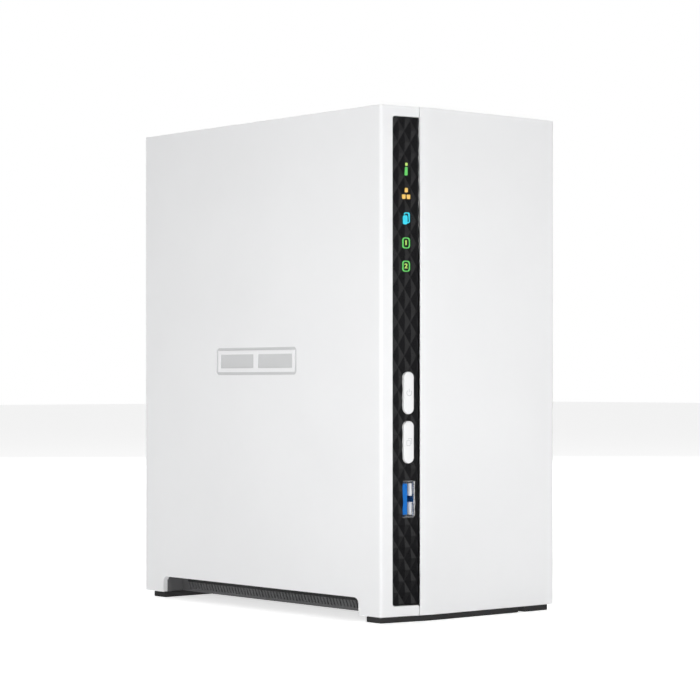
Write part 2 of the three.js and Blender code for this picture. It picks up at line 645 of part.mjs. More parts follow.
// side is -1 when the drive's circuit board faces -X.
function driveParts(x0, side) {
  const x1 = x0 + driveT;
  const y = [driveFront, driveFront + driveW];
  const z = [driveBottom, driveBottom + driveL];
  const lidFace = side < 0 ? x1 : x0;
  const boardFace = side < 0 ? x0 : x1;
  const inwards = (from, depth) => (from === x0 ? [from, from + depth] : [from - depth, from]);
  const castX = [x0 + (side < 0 ? 0 : 1.1), x1 - (side < 0 ? 1.1 : 0)];
  const pastBoard = inwards(boardFace, 3);
  const boardPocket = block(
    side < 0 ? [x0 - 1, pastBoard[1]] : [pastBoard[0], x1 + 1], [y[0] + 6, y[1] - 6], [z[0] - 1, z[0] + 92],
  );
  const notch = block(
    side < 0 ? [x0 - 1, x0 + 8] : [x1 - 8, x1 + 1], [y[0] + 28, y[0] + 76], [z[0] - 1, z[0] + 9],
  );
  const sideHoles = [28.5, 130.1].map((up) => rod(Y, [x0 + 4.2, z[0] + up], 1.7, y[0] - 1, y[0] + 6, 12));
  const lidSide = side < 0 ? [x1 - 1.1 - platterDepth, x1 + 1] : [x0 - 1, x0 + 1.1 + platterDepth];
  const platterOutline = roundedRect(y[0] + 6, y[1] - 6, z[0] + 14, z[1] - 6, 8);
  const platterSpace = prism(platterOutline, X, lidSide[0], lidSide[1], 4);
  const cast = cut(prism(roundedRect(y[0], y[1], z[0], z[1], 3), X, castX[0], castX[1], 4), [
    boardPocket, notch, platterSpace, ...sideHoles,
  ]);
  const lidX = side < 0 ? [lidFace - 1, lidFace] : [lidFace, lidFace + 1];
  const lidDisc = inwards(lidFace, 0.45);
  const grooveX = side < 0 ? [lidDisc[0], x1 + 1] : [x0 - 1, lidDisc[1]];
  const lidPlate = prism(roundedRect(y[0] + 2, y[1] - 2, z[0] + 9, z[1] - 2, 5), X, lidX[0], lidX[1], 5);
  const middle = [(y[0] + y[1]) / 2, z[0] + 92];
  const groove = rod(X, middle, 40, grooveX[0], grooveX[1], 40)
    .subtract(rod(X, middle, 37, x0 - 2, x1 + 2, 40));
  const boardX = side < 0 ? [x0 + 0.6, x0 + 0.6 + boardT] : [x1 - 0.6 - boardT, x1 - 0.6];
  const plugX = side < 0 ? [x0 + 0.8, x0 + 7] : [x1 - 7, x1 - 0.8];
  const slotX = side < 0 ? [x0 + 3, x0 + 5] : [x1 - 5, x1 - 3];
  const board = joined([
    block(boardX, [y[0] + 6.5, y[1] - 6.5], [z[0] + 1.5, z[0] + 91]),
    block(plugX, [y[0] + 29, y[0] + 75], [z[0] + 0.2, z[0] + 8]),
  ]).subtract(block(slotX, [y[0] + 31, y[0] + 73], [z[0] - 1, z[0] + 5]));
  const lid = lidPlate.subtract(groove);
  return { cast, lid, board, socketX: (slotX[0] + slotX[1]) / 2, socketY: y[0] + 52 };
}

const drives = [driveParts(driveX[0], -1), driveParts(driveX[1], 1)];
drives.forEach((drive, i) => {
  const name = "drive_" + (i + 1);
  piece(name + "_casting", drive.cast, castAluminium);
  piece(name + "_lid", drive.lid, platedSteel);
  piece(name + "_board", drive.board, boardGreen);
});

// ---- backplane with its two drive sockets ----

const backplaneX = [mainboardX + boardT + seat, cageRight - sheet - 1.2];
const backplane = joined([
  block(backplaneX, backplaneY, [backplaneZ, backplaneZ + boardT]),
  ...[backplaneY[0] + 10, backplaneY[1] - 10].flatMap((y) =>
    [cageLeft + 7.5, cageRight - 7.9].map((x) =>
      rod(Z, [x, y], 2.2, cageBottom + sheet + seat, backplaneZ + 0.5, 12))),
]);
piece("sata_backplane", backplane, boardGreen);
drives.forEach((drive, i) => {
  const z = backplaneZ + boardT + seat;
  const middle = [drive.socketX, drive.socketY, (z + driveBottom - fit) / 2];
  const body = slab(middle, [5.6, 44, driveBottom - fit - z]);
  const blade = slab([drive.socketX, drive.socketY, driveBottom + 1.5], [1.2, 41, 5]);
  piece("sata_socket_" + (i + 1), joined([body, blade]), chipBlack);
});

// ---- mainboard and what is soldered to it ----

const faceX = mainboardX - seat; // soldered pieces stand off the board's face towards -X

function mainboard() {
  const outline = [
    [mainboardFront, mainboardBottom],
    [mainboardRear, mainboardBottom],
    [mainboardRear, mainboardStep],
    [fanFront - 2, mainboardStep],
    [fanFront - 2, mainboardTop],
    [mainboardFront, mainboardTop],
  ];
  const holes = boardHoles.map((p) => rod(X, p, 1.7, mainboardX - 1, mainboardX + boardT + 1, 12));
  return cut(prism(outline, X, mainboardX, mainboardX + boardT), holes);
}

const onBoard = (y, z, height, w, h) => slab([faceX - height / 2, y, z], [height, w, h]);

// A finned heatsink standing on the processor.
function heatsink(y, z, size, from) {
  const plate = slab([from - 1.25, y, z], [2.5, size, size]);
  const finCount = 9;
  const fins = [];
  for (let i = 0; i < finCount; i++) {
    const fy = y + (i - (finCount - 1) / 2) * ((size - 1.4) / (finCount - 1));
    fins.push(slab([from - 5.2, fy, z], [6, 1.4, size]));
  }
  return joined([plate, ...fins]);
}

piece("mainboard", mainboard(), boardGreen);
const processor = { y: mainboardFront + 46, z: 118, h: 1.5 };
piece("processor", onBoard(processor.y, processor.z, processor.h, 19, 19), chipBlack);
piece("heatsink", heatsink(processor.y, processor.z, 38, faceX - processor.h - seat), heatsinkGrey);
piece("memory_chip_1", onBoard(processor.y, processor.z + 30, 1.1, 13, 9), chipBlack);
piece("memory_chip_2", onBoard(processor.y, processor.z - 30, 1.1, 13, 9), chipBlack);
piece("flash_chip", onBoard(processor.y + 30, 124, 1, 11.5, 13), chipBlack);
piece("lan_transformer", onBoard(mainboardRear - 28, lanZ, 5.6, 12, 15), chipBlack);
piece("clock_battery", joined([
  rod(X, [mainboardRear - 50, 84], 10.6, faceX - 1.6, faceX, 28),
  rod(X, [mainboardRear - 50, 84], 10, faceX - 4.6, faceX - 1.5, 28),
]), platedSteel);
piece("power_capacitor", rod(X, [mainboardRear - 18, 32], 4, faceX - 8, faceX, 20), heatsinkGrey);
piece("board_link", slab([faceX - 3, mainboardFront + 6, 116], [6, 7, 22]), chipBlack);

// ---- ports at the rear ----

const portFace = panelOuter + 0.2; // port mouths stand just through the panel

rearUsbZ.forEach((z, i) => {
  const x = faceX - usbW / 2 - 0.2;
  placed(piece("rear_usb_shell_" + (i + 1), usbShell(14), platedSteel), x, portFace, z, Math.PI);
  placed(piece("rear_usb_tongue_" + (i + 1), usbTongue(14, 1, 4), whiteInsert), x, portFace, z, Math.PI);
});

const lan = { w: 12.2, h: 16, deep: 18, hollowW: 8.2, hollowH: 11.8, hollowDeep: 13.5 };
const lanX = faceX - lan.w / 2;

function lanJack() {
  const can = block([lanX - lan.w / 2, lanX + lan.w / 2], [portFace - lan.deep, portFace],
    [lanZ - lan.h / 2, lanZ + lan.h / 2]);
  const mouthX = [lanX - lan.w / 2 + 1.4, lanX - lan.w / 2 + 1.4 + lan.hollowW];
  const mouth = block(mouthX, [portFace - lan.hollowDeep, portFace + 1],
    [lanZ - lan.hollowH / 2, lanZ + lan.hollowH / 2]);
  const latch = block([mouthX[1] - 1, mouthX[1] + 1.4], [portFace - 9, portFace + 1], [lanZ - 3, lanZ + 3]);
  return cut(can, [mouth, latch]);
}

// The eight spring contacts are one comb in the roof of the jack.
function lanContacts() {
  const x = lanX - lan.w / 2 + 1.4 + 0.15;
  const bar = block([x, x + 0.9], [portFace - lan.hollowDeep + 0.2, portFace - 11], [lanZ - 5, lanZ + 5]);
  const springs = [];
  for (let i = 0; i < 8; i++) {
    const z = lanZ - 3.75 + i * 1.02;
    springs.push(block([x, x + 0.5], [portFace - 12, portFace - 3.2], [z, z + 0.4]));
  }
  return joined([bar, ...springs]);
}

const jackX = faceX - 5.6;

function powerJack() {
  const body = block([faceX - 11, faceX], [portFace - 14, portFace - 0.1], [jackZ - 4.6, jackZ + 4.6]);
  const sleeve = rod(Y, [jackX, jackZ], 3.15, portFace - 10, portFace + 1, 24);
  const pin = rod(Y, [jackX, jackZ], 1.05, portFace - 10.5, portFace - 1.5, 16);
  return body.subtract(sleeve).add(pin);
}

const resetX = faceX - 3.2;

function resetSwitch() {
  const can = block([faceX - 6.2, faceX], [portFace - 9, portFace - 4.4], [resetZ - 3, resetZ + 3]);
  return can.subtract(rod(Y, [resetX, resetZ], 1.4, portFace - 6.8, portFace, 16));
}

piece("lan_jack", lanJack(), platedSteel);
piece("lan_contacts", lanContacts(), finish(0xc9a24a, 0.3, 1));
piece("power_jack", powerJack(), chipBlack);
piece("reset_switch", resetSwitch(), platedSteel);
piece("reset_button", joined([
  rod(Y, [resetX, resetZ], 1.15, portFace - 5.6, portFace - 2.6, 14),
  rod(Y, [resetX, resetZ], 0.7, portFace - 3, portFace - 0.6, 14),
]), whiteInsert);

// ---- fan ----

function fanFrame() {
  const half = fanSize / 2;
  const outer = roundedRect(-half, half, fanZ - half, fanZ + half, 4);
  const flangeT = 4;
  const bore = rod(Y, [0, fanZ], fanBoreR, fanFront - 1, fanRear + 1, 48);
  const duct = rod(Y, [0, fanZ], fanBoreR + 1.6, fanFront, fanRear, 48);
  const frame = cut(joined([
    prism(outer, Y, fanFront, fanFront + flangeT, 4),
    prism(outer, Y, fanRear - flangeT, fanRear, 4),
    duct,
  ]), [bore]);
  const seatDisc = rod(Y, [0, fanZ], fanHubR, fanRear - 3, fanRear - 0.4, 32);
  const bearing = rod(Y, [0, fanZ], 4, fanFront + 7, fanRear - 2, 20);
  const strutTurns = [0.13, 0.38, 0.63, 0.88];
  const struts = strutTurns.map((turn) => {
    const g = new THREE.BoxGeometry(fanBoreR - fanHubR + 3, 2.4, 3);
    g.translate((fanBoreR + fanHubR) / 2, 0, 0).rotateY(turn * 2 * Math.PI);
    return solid(g.translate(0, fanRear - 1.7, fanZ));
  });
  const holes = fanCorners().map(([x, z]) => rod(Y, [x, z], 1.75, fanFront - 1, fanRear + 1, 12));
  const shaftBore = rod(Y, [0, fanZ], 1.55, fanFront, fanRear - 3.5, 16);
  return cut(joined([frame, seatDisc, bearing, ...struts]), [...holes, shaftBore]);
}

const fanCorners = () =>
  [-1, 1].flatMap((a) => [-1, 1].map((b) => [(a * fanHoleStep) / 2, fanZ + (b * fanHoleStep) / 2]));

// A hollow hub on its shaft, with curved blades pitched like a propeller.
function fanRotor() {
  const hubY = [fanFront + 1.2, fanRear - 4];
  const hub = rod(Y, [0, fanZ], fanHubR, hubY[0], hubY[1], 40).subtract(
    rod(Y, [0, fanZ], fanHubR - 1.6, hubY[0] + 1.8, hubY[1] + 1, 40),
  );
  const shaft = rod(Y, [0, fanZ], 1.5, hubY[0] + 1, fanRear - 4.2, 16);
  const tipR = fanBoreR - 1;
  const steps = 6;
  const blades = [];
  for (let b = 0; b < fanBlades; b++) {
    const points = [];
    const faces = [];
    for (let i = 0; i <= steps; i++) {
      const r = fanHubR - 0.8 + ((tipR - fanHubR + 0.8) * i) / steps;
      const pitch = 0.95 - (0.35 * i) / steps;
      const sweep = (b * 2 * Math.PI) / fanBlades + (0.32 * i) / steps;
      const chord = 17 + (5 * i) / steps;
      for (const [along, thick] of [[-0.5, -0.5], [0.5, -0.5], [0.5, 0.5], [-0.5, 0.5]]) {
        const turn = sweep + (along * chord * Math.cos(pitch)) / r;
        const y = (hubY[0] + hubY[1]) / 2 + along * chord * Math.sin(pitch) * 1.05 + thick * 1.5;
        points.push(r * Math.cos(turn), y, fanZ + r * Math.sin(turn));
      }
    }
    for (let i = 0; i < steps; i++)
      for (let k = 0; k < 4; k++) {
        const [a, c] = [i * 4 + k, i * 4 + ((k + 1) % 4)];
        faces.push(a, c, c + 4, a, c + 4, a + 4);
      }
    const end = steps * 4;
    faces.push(0, 2, 1, 0, 3, 2, end, end + 1, end + 2, end, end + 2, end + 3);
    const g = new THREE.BufferGeometry();
    g.setAttribute("position", new THREE.BufferAttribute(new Float32Array(points), 3));
    g.setIndex(faces);
    const blade = solid(g);
    blades.push(blade.volume() < 0 ? solid(flipped(g)) : blade);
  }
  const clear = rod(Y, [0, fanZ], tipR, fanFront + 0.8, fanRear - 3.6, 48);
  return joined([hub, shaft, ...blades.map((blade) => blade.intersect(clear).subtract(
    rod(Y, [0, fanZ], fanHubR - 1, fanFront, fanRear, 40)))]);
}

function flipped(geometry) {
  const index = geometry.index.array;
  for (let i = 0; i < index.length; i += 3) [index[i + 1], index[i + 2]] = [index[i + 2], index[i + 1]];
  return geometry;
}

piece("fan_frame", fanFrame(), darkPlastic);
piece("fan_rotor", fanRotor(), darkPlastic);

// ---- rear panel, with its grille, port holes and screws ----

function rearPanel() {
  const plate = block([innerLeft + fit, innerRight - fit], [panelInner, panelOuter],
    [bottom + fit, innerTop - fit]);
  const through = [panelInner - 1, panelOuter + 1];
  const hole = (x, z, r, sides = 12) => rod(Y, [x, z], r, through[0], through[1], sides);
  const window = (x, z) => block(x, through, z);
  const grille = [];
  const holeR = 2.9;
  const pitch = 6.3;
  const rowStep = pitch * Math.cos(Math.PI / 6);
  const rows = Math.floor((fanBoreR - holeR) / rowStep);
  for (let j = -rows; j <= rows; j++)
    for (let i = -rows; i <= rows; i++) {
      const x = (i + (Math.abs(j) % 2) / 2) * pitch;
      const z = j * rowStep;
      if (Math.hypot(x, z) < fanBoreR - holeR) grille.push(hole(x, fanZ + z, holeR, 6));
    }
  const gap = 0.35;
  const usbX = faceX - usbW / 2 - 0.2;
  return cut(plate, [
    ...grille,
    ...fanCorners().map(([x, z]) => hole(x, z, screwShankR + 0.35)),
    ...thumbZ.map((z) => hole(thumbX, z, thumbShankR + 0.25, 16)),
    ...rearUsbZ.map((z) =>
      window([usbX - usbW / 2 - gap, usbX + usbW / 2 + gap], [z - usbH / 2 - gap, z + usbH / 2 + gap])),
    window([lanX - lan.w / 2 - gap, lanX + lan.w / 2 + gap], [lanZ - lan.h / 2 - gap, lanZ + lan.h / 2 + gap]),
    window([faceX - 11 - gap, faceX + gap], [jackZ - 4.6 - gap, jackZ + 4.6 + gap]),
    hole(resetX, resetZ, 1.1),
    window([17.5 - lockSlot[0] / 2, 17.5 + lockSlot[0] / 2], [63.5 - lockSlot[1] / 2, 63.5 + lockSlot[1] / 2]),
    ...panelScrewX.map((x) => hole(x, panelScrewZ, screwShankR + 0.35)),
  ]);
}

const panelScrewX = [cageLeft + 7.5, cageRight - 7.9];
const panelScrewZ = cageBottom + 5;

piece("rear_panel", rearPanel(), paintedSteel);
fanCorners().forEach(([x, z], i) =>
  placed(piece("fan_screw_" + (i + 1), screw(6, 2.9, -1), platedSteel), x, panelOuter + seat, z));

// A knurled thumbscrew: its shank goes through the panel into the right cover's boss.
function thumbscrew() {
  const head = joined([
    rod(Y, [0, 0], thumbHeadR - 0.5, 0, thumbHeadL, 24),
    rod(Y, [0, 0], thumbHeadR, 0.8, thumbHeadL - 0.7, 24),
  ]);
  const notches = [];
  for (let i = 0; i < 12; i++) {
    const turn = (i * Math.PI) / 6;
    const at = [(thumbHeadR + 0.15) * Math.cos(turn), (thumbHeadR + 0.15) * Math.sin(turn)];
    notches.push(rod(Y, at, 0.4, 0.4, thumbHeadL - 0.2, 6));
  }
  const slot = block([-thumbHeadR, thumbHeadR], [thumbHeadL - 1, thumbHeadL + 1], [-0.45, 0.45]);
  return cut(joined([cut(head, [...notches, slot]), rod(Y, [0, 0], thumbShankR, -8, 0.5, 16)]), []);
}

thumbZ.forEach((z, i) =>
  placed(piece("thumbscrew_" + ["lower", "upper"][i], thumbscrew(), platedSteel), thumbX, panelOuter + 0.2, z));

export default nas;
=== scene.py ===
import json
import math

import bmesh
import bpy
from mathutils import Matrix, Vector


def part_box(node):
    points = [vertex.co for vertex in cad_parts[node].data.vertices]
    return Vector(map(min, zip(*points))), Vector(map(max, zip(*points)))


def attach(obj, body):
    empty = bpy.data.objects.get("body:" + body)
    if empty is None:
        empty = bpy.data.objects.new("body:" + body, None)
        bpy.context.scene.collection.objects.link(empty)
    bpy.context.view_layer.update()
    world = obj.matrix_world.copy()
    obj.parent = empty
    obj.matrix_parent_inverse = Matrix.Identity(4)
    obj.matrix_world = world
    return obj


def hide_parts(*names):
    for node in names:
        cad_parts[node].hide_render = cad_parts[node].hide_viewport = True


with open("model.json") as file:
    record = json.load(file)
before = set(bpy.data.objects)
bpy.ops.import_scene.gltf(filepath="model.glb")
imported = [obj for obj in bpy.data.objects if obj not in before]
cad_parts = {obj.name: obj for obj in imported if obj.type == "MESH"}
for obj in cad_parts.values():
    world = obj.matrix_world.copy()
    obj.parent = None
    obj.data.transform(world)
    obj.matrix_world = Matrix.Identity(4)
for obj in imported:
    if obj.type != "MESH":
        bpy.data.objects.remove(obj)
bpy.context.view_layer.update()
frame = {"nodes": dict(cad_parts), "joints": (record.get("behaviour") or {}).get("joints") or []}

mm = 0.001
scene = bpy.context.scene
scene.view_settings.view_transform = "Standard"


def at(x, y, z):
    # a shift in millimetres
    return Matrix.Translation((x * mm, y * mm, z * mm))


def drawnTo(x, y, height, start=(0, 0, 0)):
    # where a drawing's x, y and height point in the case, and where its origin lies
    return Matrix.Translation(start) @ Matrix((x, y, height)).transposed().to_4x4()


rightward, backward, upward = (1, 0, 0), (0, 1, 0), (0, 0, 1)
leftward, forward = (-1, 0, 0), (0, -1, 0)
caseLow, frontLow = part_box("left_cover")[0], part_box("right_cover")[0]
pressAxis = next(j for j in frame["joints"] if j["name"] == "power_button_press")["axis"]
facetAngle = math.atan2(pressAxis[0], pressAxis[1])
facetRecess = 3.7 * mm
# x runs along the angled front band from its outer corner, y into the case, z up
facetPlace = Matrix.Translation((caseLow.x, frontLow.y + facetRecess, 0)) @ Matrix.Rotation(-facetAngle, 4, "Z")
outOfBand = drawnTo(rightward, upward, forward)
outOfFacet = facetPlace @ outOfBand


def addNode(tree, kind, inputs=None, **options):
    made = tree.nodes.new(kind)
    for option, value in options.items():
        setattr(made, option, value)
    for key, value in (inputs or {}).items():
        socket = made.inputs[key]
        if isinstance(value, bpy.types.NodeSocket):
            tree.links.new(value, socket)
        else:
            socket.default_value = value
    return made


def newMaterial(name, **constants):
    material = bpy.data.materials.new(name)
    material.use_nodes = True
    shader = material.node_tree.nodes["Principled BSDF"]
    for socket, value in constants.items():
        shader.inputs[socket.replace("_", " ")].default_value = value
    return material, material.node_tree, shader


def grain(tree, size, detail=3.0, stretch=(1, 1, 1)):
    # noise over the object's own coordinates, with a size in millimetres
    place = addNode(tree, "ShaderNodeTexCoord").outputs["Object"]
    place = addNode(tree, "ShaderNodeMapping", {"Vector": place, "Scale": stretch}).outputs["Vector"]
    return addNode(tree, "ShaderNodeTexNoise", {
        "Vector": place, "Scale": 1 / (size * mm), "Detail": detail, "Roughness": 0.55}).outputs["Fac"]


def cells(tree, size, **options):
    place = addNode(tree, "ShaderNodeTexCoord").outputs["Object"]
    return addNode(tree, "ShaderNodeTexVoronoi", {"Vector": place, "Scale": 1 / (size * mm)}, **options)


def between(tree, factor, low, high):
    return addNode(tree, "ShaderNodeMapRange", {"Value": factor, "To Min": low, "To Max": high}).outputs["Result"]


def shades(tree, factor, dark, light):
    ramp = addNode(tree, "ShaderNodeValToRGB", {"Fac": factor})
    for stop, place, shade in zip(ramp.color_ramp.elements, (0.3, 0.7), (dark, light)):
        stop.position, stop.color = place, (*shade, 1)
    return ramp.outputs["Color"]


def dress(tree, shader, colour, roughness=None, bump=None, depth=0.0, strength=1.0):
    # links a colour, a roughness and a relief with its depth in millimetres
    tree.links.new(colour, shader.inputs["Base Color"])
    if roughness:
        tree.links.new(roughness, shader.inputs["Roughness"])
    if bump:
        relief = addNode(tree, "ShaderNodeBump", {"Height": bump, "Distance": depth * mm, "Strength": strength})
        tree.links.new(relief.outputs["Normal"], shader.inputs["Normal"])


def mouldedPlastic(name, dark, light, roughness, grainSize, grainDepth):
    # a fine spark-eroded grain with a faint unevenness of colour and gloss over it
    material, tree, shader = newMaterial(name)
    fine, broad = grain(tree, grainSize, 2.0), grain(tree, 45, 4.0)
    dress(tree, shader, shades(tree, broad, dark, light), between(tree, fine, *roughness), fine, grainDepth)
    return material


def sheetMetal(name, dark, light, roughness, brushed=(1, 1, 1), grainSize=0.6, depth=0.004):
    material, tree, shader = newMaterial(name, Metallic=1.0)
    streaks, stains = grain(tree, grainSize, 5.0, brushed), grain(tree, 18)
    dress(tree, shader, shades(tree, stains, dark, light), between(tree, streaks, *roughness), streaks, depth)
    return material


def spangledSteel(name):
    # galvanised sheet: crystals a few millimetres across, each with its own shade
    material, tree, shader = newMaterial(name, Metallic=0.95)
    crystals = cells(tree, 2.4).outputs["Color"]
    shade = addNode(tree, "ShaderNodeSeparateColor", {"Color": crystals}).outputs["Red"]
    dress(tree, shader, shades(tree, shade, (0.47, 0.48, 0.49), (0.55, 0.56, 0.57)),
          between(tree, shade, 0.3, 0.46), grain(tree, 0.3), 0.004)
    return material


def circuitBoard(name):
    # solder mask with copper tracks that show through as lighter bands
    material, tree, shader = newMaterial(name)
    network = cells(tree, 4, distance="MANHATTAN", feature="F1")
    network.inputs["Randomness"].default_value = 0.7
    bands = calc(tree, "FRACT", calc(tree, "MULTIPLY", network.outputs["Distance"], 9.0))
    tracks = calc(tree, "GREATER_THAN", bands, 0.55)
    dress(tree, shader, shades(tree, tracks, (0.006, 0.06, 0.028), (0.012, 0.105, 0.05)),
          between(tree, grain(tree, 0.25, 2.0), 0.3, 0.42), tracks, 0.03, 0.6)
    return material


def glowing(name, colour):
    # a lit window: its glow varies a little in soft clouds over the moulding
    material, tree, shader = newMaterial(name, Emission_Strength=1.0, Roughness=0.35)
    cloudy = grain(tree, 1.5, 2.0)
    dim, off, lit = (tuple(c * part for c in colour) for part in (0.86, 0.1, 0.14))
    tree.links.new(shades(tree, cloudy, dim, colour), shader.inputs["Emission Color"])
    dress(tree, shader, shades(tree, cloudy, off, lit))
    return material


def clearMoulding(name):
    material, tree, shader = newMaterial(name, Transmission_Weight=0.8)
    cloudy = grain(tree, 2)
    dress(tree, shader, shades(tree, cloudy, (0.72, 0.82, 0.76), (0.86, 0.92, 0.88)),
          between(tree, cloudy, 0.05, 0.16))
    return material


def calc(tree, operation, a, b=0.0):
    return addNode(tree, "ShaderNodeMath", {0: a, 1: b}, operation=operation).outputs[0]


plastics = {
    # darkest and lightest shade, roughness, size and depth of the grain
    "coverWhite": ((0.79, 0.793, 0.8), (0.81, 0.813, 0.82), (0.4, 0.52), 0.3, 0.008),
    "buttonWhite": ((0.78, 0.78, 0.785), (0.8, 0.8, 0.805), (0.25, 0.34), 0.3, 0.004),
    "stripBlack": ((0.007, 0.007, 0.008), (0.01, 0.01, 0.011), (0.24, 0.34), 0.3, 0.004),
    "tubDark": ((0.085, 0.085, 0.087), (0.11, 0.11, 0.113), (0.45, 0.6), 0.35, 0.02),
    "fanDark": ((0.018, 0.018, 0.019), (0.026, 0.026, 0.027), (0.35, 0.5), 0.4, 0.01),
    "footRubber": ((0.02, 0.02, 0.02), (0.032, 0.032, 0.032), (0.7, 0.9), 0.25, 0.03),
    "socketBlack": ((0.012, 0.012, 0.013), (0.02, 0.02, 0.021), (0.4, 0.55), 0.3, 0.01),
    "usbBlue": ((0.0, 0.12, 0.46), (0.0, 0.16, 0.58), (0.25, 0.36), 0.25, 0.004),
    "insertWhite": ((0.66, 0.65, 0.61), (0.74, 0.73, 0.69), (0.35, 0.5), 0.25, 0.008),
    "printGrey": ((0.52, 0.53, 0.54), (0.58, 0.59, 0.6), (0.5, 0.6), 0.25, 0.004),
    "markGrey": ((0.56, 0.565, 0.57), (0.6, 0.605, 0.61), (0.4, 0.5), 0.25, 0.006),
    "labelPaper": ((0.7, 0.71, 0.72), (0.78, 0.79, 0.8), (0.5, 0.65), 0.2, 0.006),
    "panelPaint": ((0.045, 0.046, 0.049), (0.06, 0.061, 0.064), (0.45, 0.62), 0.5, 0.03),
    "tinPlate": ((0.74, 0.745, 0.75), (0.8, 0.805, 0.81), (0.3, 0.4), 0.25, 0.006),
    "chipBlack": ((0.01, 0.01, 0.011), (0.018, 0.018, 0.019), (0.5, 0.62), 0.15, 0.008),
    "ceramicTan": ((0.34, 0.22, 0.12), (0.44, 0.3, 0.18), (0.3, 0.4), 0.2, 0.004),
}
metals = {
    # darkest and lightest shade, roughness, stretch of the grain, its size and depth
    "plated": ((0.62, 0.62, 0.63), (0.72, 0.72, 0.73), (0.12, 0.24)),
    "shellSteel": ((0.66, 0.66, 0.67), (0.76, 0.76, 0.77), (0.2, 0.34), (1, 1, 6)),
    "castAluminium": ((0.3, 0.31, 0.32), (0.4, 0.41, 0.42), (0.45, 0.62), (1, 1, 1), 0.5, 0.03),
    "sinkAluminium": ((0.45, 0.46, 0.47), (0.55, 0.56, 0.57), (0.3, 0.44), (1, 14, 1), 0.5, 0.006),
    "lidSteel": ((0.5, 0.51, 0.52), (0.6, 0.61, 0.62), (0.22, 0.36), (1, 12, 1), 0.5, 0.004),
    "gold": ((0.74, 0.5, 0.17), (0.85, 0.6, 0.24), (0.15, 0.28)),
}
glows = {
    "lightGreen": (0.14, 0.62, 0.14), "lightLime": (0.5, 0.74, 0.17),
    "lightAmber": (0.92, 0.58, 0.15), "lightCyan": (0.05, 0.68, 0.86),
}
finishes = {
    **{name: mouldedPlastic(name, *values) for name, values in plastics.items()},
    **{name: sheetMetal(name, *values) for name, values in metals.items()},
    **{name: glowing(name, colour) for name, colour in glows.items()},
    "cageSteel": spangledSteel("cageSteel"), "boardGreen": circuitBoard("boardGreen"),
    "clear": clearMoulding("clear"),
}
print("finishes made")


def newPiece(name, mesh, finish):
    piece = bpy.data.objects.new(name, mesh)
    scene.collection.objects.link(piece)
    if finish:
        mesh.materials.clear()
        mesh.materials.append(finishes[finish])
    return piece


def settle(piece, body, slot, *nodes):
    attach(piece, body)
    if nodes:
        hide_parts(*nodes)
    return piece


def smooth(piece, angle=32):
    for face in piece.data.polygons:
        face.use_smooth = True
    piece.data.set_sharp_from_angle(angle=math.radians(angle))
    return piece


def softEdges(piece, width, segments=2, angle=32):
    for face in piece.data.polygons:
        face.use_smooth = True
    edge = piece.modifiers.new("edges", "BEVEL")
    edge.width = width * mm
    edge.segments = segments
    edge.limit_method = "ANGLE"
    edge.angle_limit = math.radians(angle)
    edge.harden_normals = True
    even = piece.modifiers.new("shading", "WEIGHTED_NORMAL")
    even.keep_sharp = True
    even.weight = 100
    return piece


def addPiece(name, mesh, finish, slot, *nodes, body="case", sharp=None, edges=None):
    # sharp: smooth shading up to an angle; edges: rounded edges of a width, with segments and an angle
    piece = newPiece(name, mesh, finish)
    if sharp:
        smooth(piece, sharp)
    if edges:
        softEdges(piece, *edges)
    return settle(piece, body, slot, *nodes)


def mergedMesh(node):
    # a CAD node's triangles as one shell of flat faces
    mesh = frame["nodes"][node].data.copy()
    shell = bmesh.new()
    shell.from_mesh(mesh)
    bmesh.ops.remove_doubles(shell, verts=shell.verts, dist=2e-6)
    bmesh.ops.dissolve_limit(shell, angle_limit=math.radians(0.4), verts=shell.verts, edges=shell.edges)
    shell.to_mesh(mesh)
    shell.free()
    return mesh


def softCopy(node, name, slot, finish, *edges, body="case"):
    return addPiece(name, mergedMesh(node), finish, slot, node, body=body, edges=edges)


def meshOf(shell, name):
    mesh = bpy.data.meshes.new(name)
    shell.to_mesh(mesh)
    shell.free()
    return mesh


def moved(mesh, matrix):
    mesh.transform(matrix)
    if matrix.determinant() < 0:
        mesh.flip_normals()
    return mesh


# outlines and drawings are in millimetres, meshes in metres
def loopOf(x0, x1, y0, y1, r, steps=8):
    # a rectangle's outline with round corners
    points = []
    for cx, cy, start in ((x1 - r, y0 + r, -90), (x1 - r, y1 - r, 0), (x0 + r, y1 - r, 90), (x0 + r, y0 + r, 180)):
        for i in range(steps + 1):
            turn = math.radians(start + 90 * i / steps)
            points.append((cx + r * math.cos(turn), cy + r * math.sin(turn)))
    return points


def boxLoop(cx, cy, wide, tall, r, steps=8):
    return loopOf(cx - wide / 2, cx + wide / 2, cy - tall / 2, cy + tall / 2, r, steps)


def pillOutline(wide, tall, cx, cy, steps=12):
    return boxLoop(cx, cy, wide, tall, wide / 2 - 0.001, steps)


def circle(cx, cy, radius, steps=24):
    turns = [2 * math.pi * i / steps for i in range(steps)]
    return [(cx + radius * math.cos(turn), cy + radius * math.sin(turn)) for turn in turns]


def level(outline, height):
    return [(x, y, height) for x, y in outline]


def solidLoft(rings):
    # a closed skin over rings of points that match one to one, capped at both ends
    shell = bmesh.new()
    rows = [[shell.verts.new((x * mm, y * mm, z * mm)) for x, y, z in ring] for ring in rings]
    count = len(rows[0])
    for low, high in zip(rows, rows[1:]):
        for i in range(count):
            j = (i + 1) % count
            shell.faces.new((low[i], low[j], high[j], high[i]))
    shell.faces.new(list(reversed(rows[0])))
    shell.faces.new(rows[-1])
    bmesh.ops.recalc_face_normals(shell, faces=shell.faces)
    return meshOf(shell, "loft")


def pushedUp(outline, low, high):
    # a closed prism over an outline, between two heights
    return solidLoft([level(outline, low), level(outline, high)])


def cutter(outline):
    # a prism that goes through any plate
    return pushedUp(outline, -9, 9)


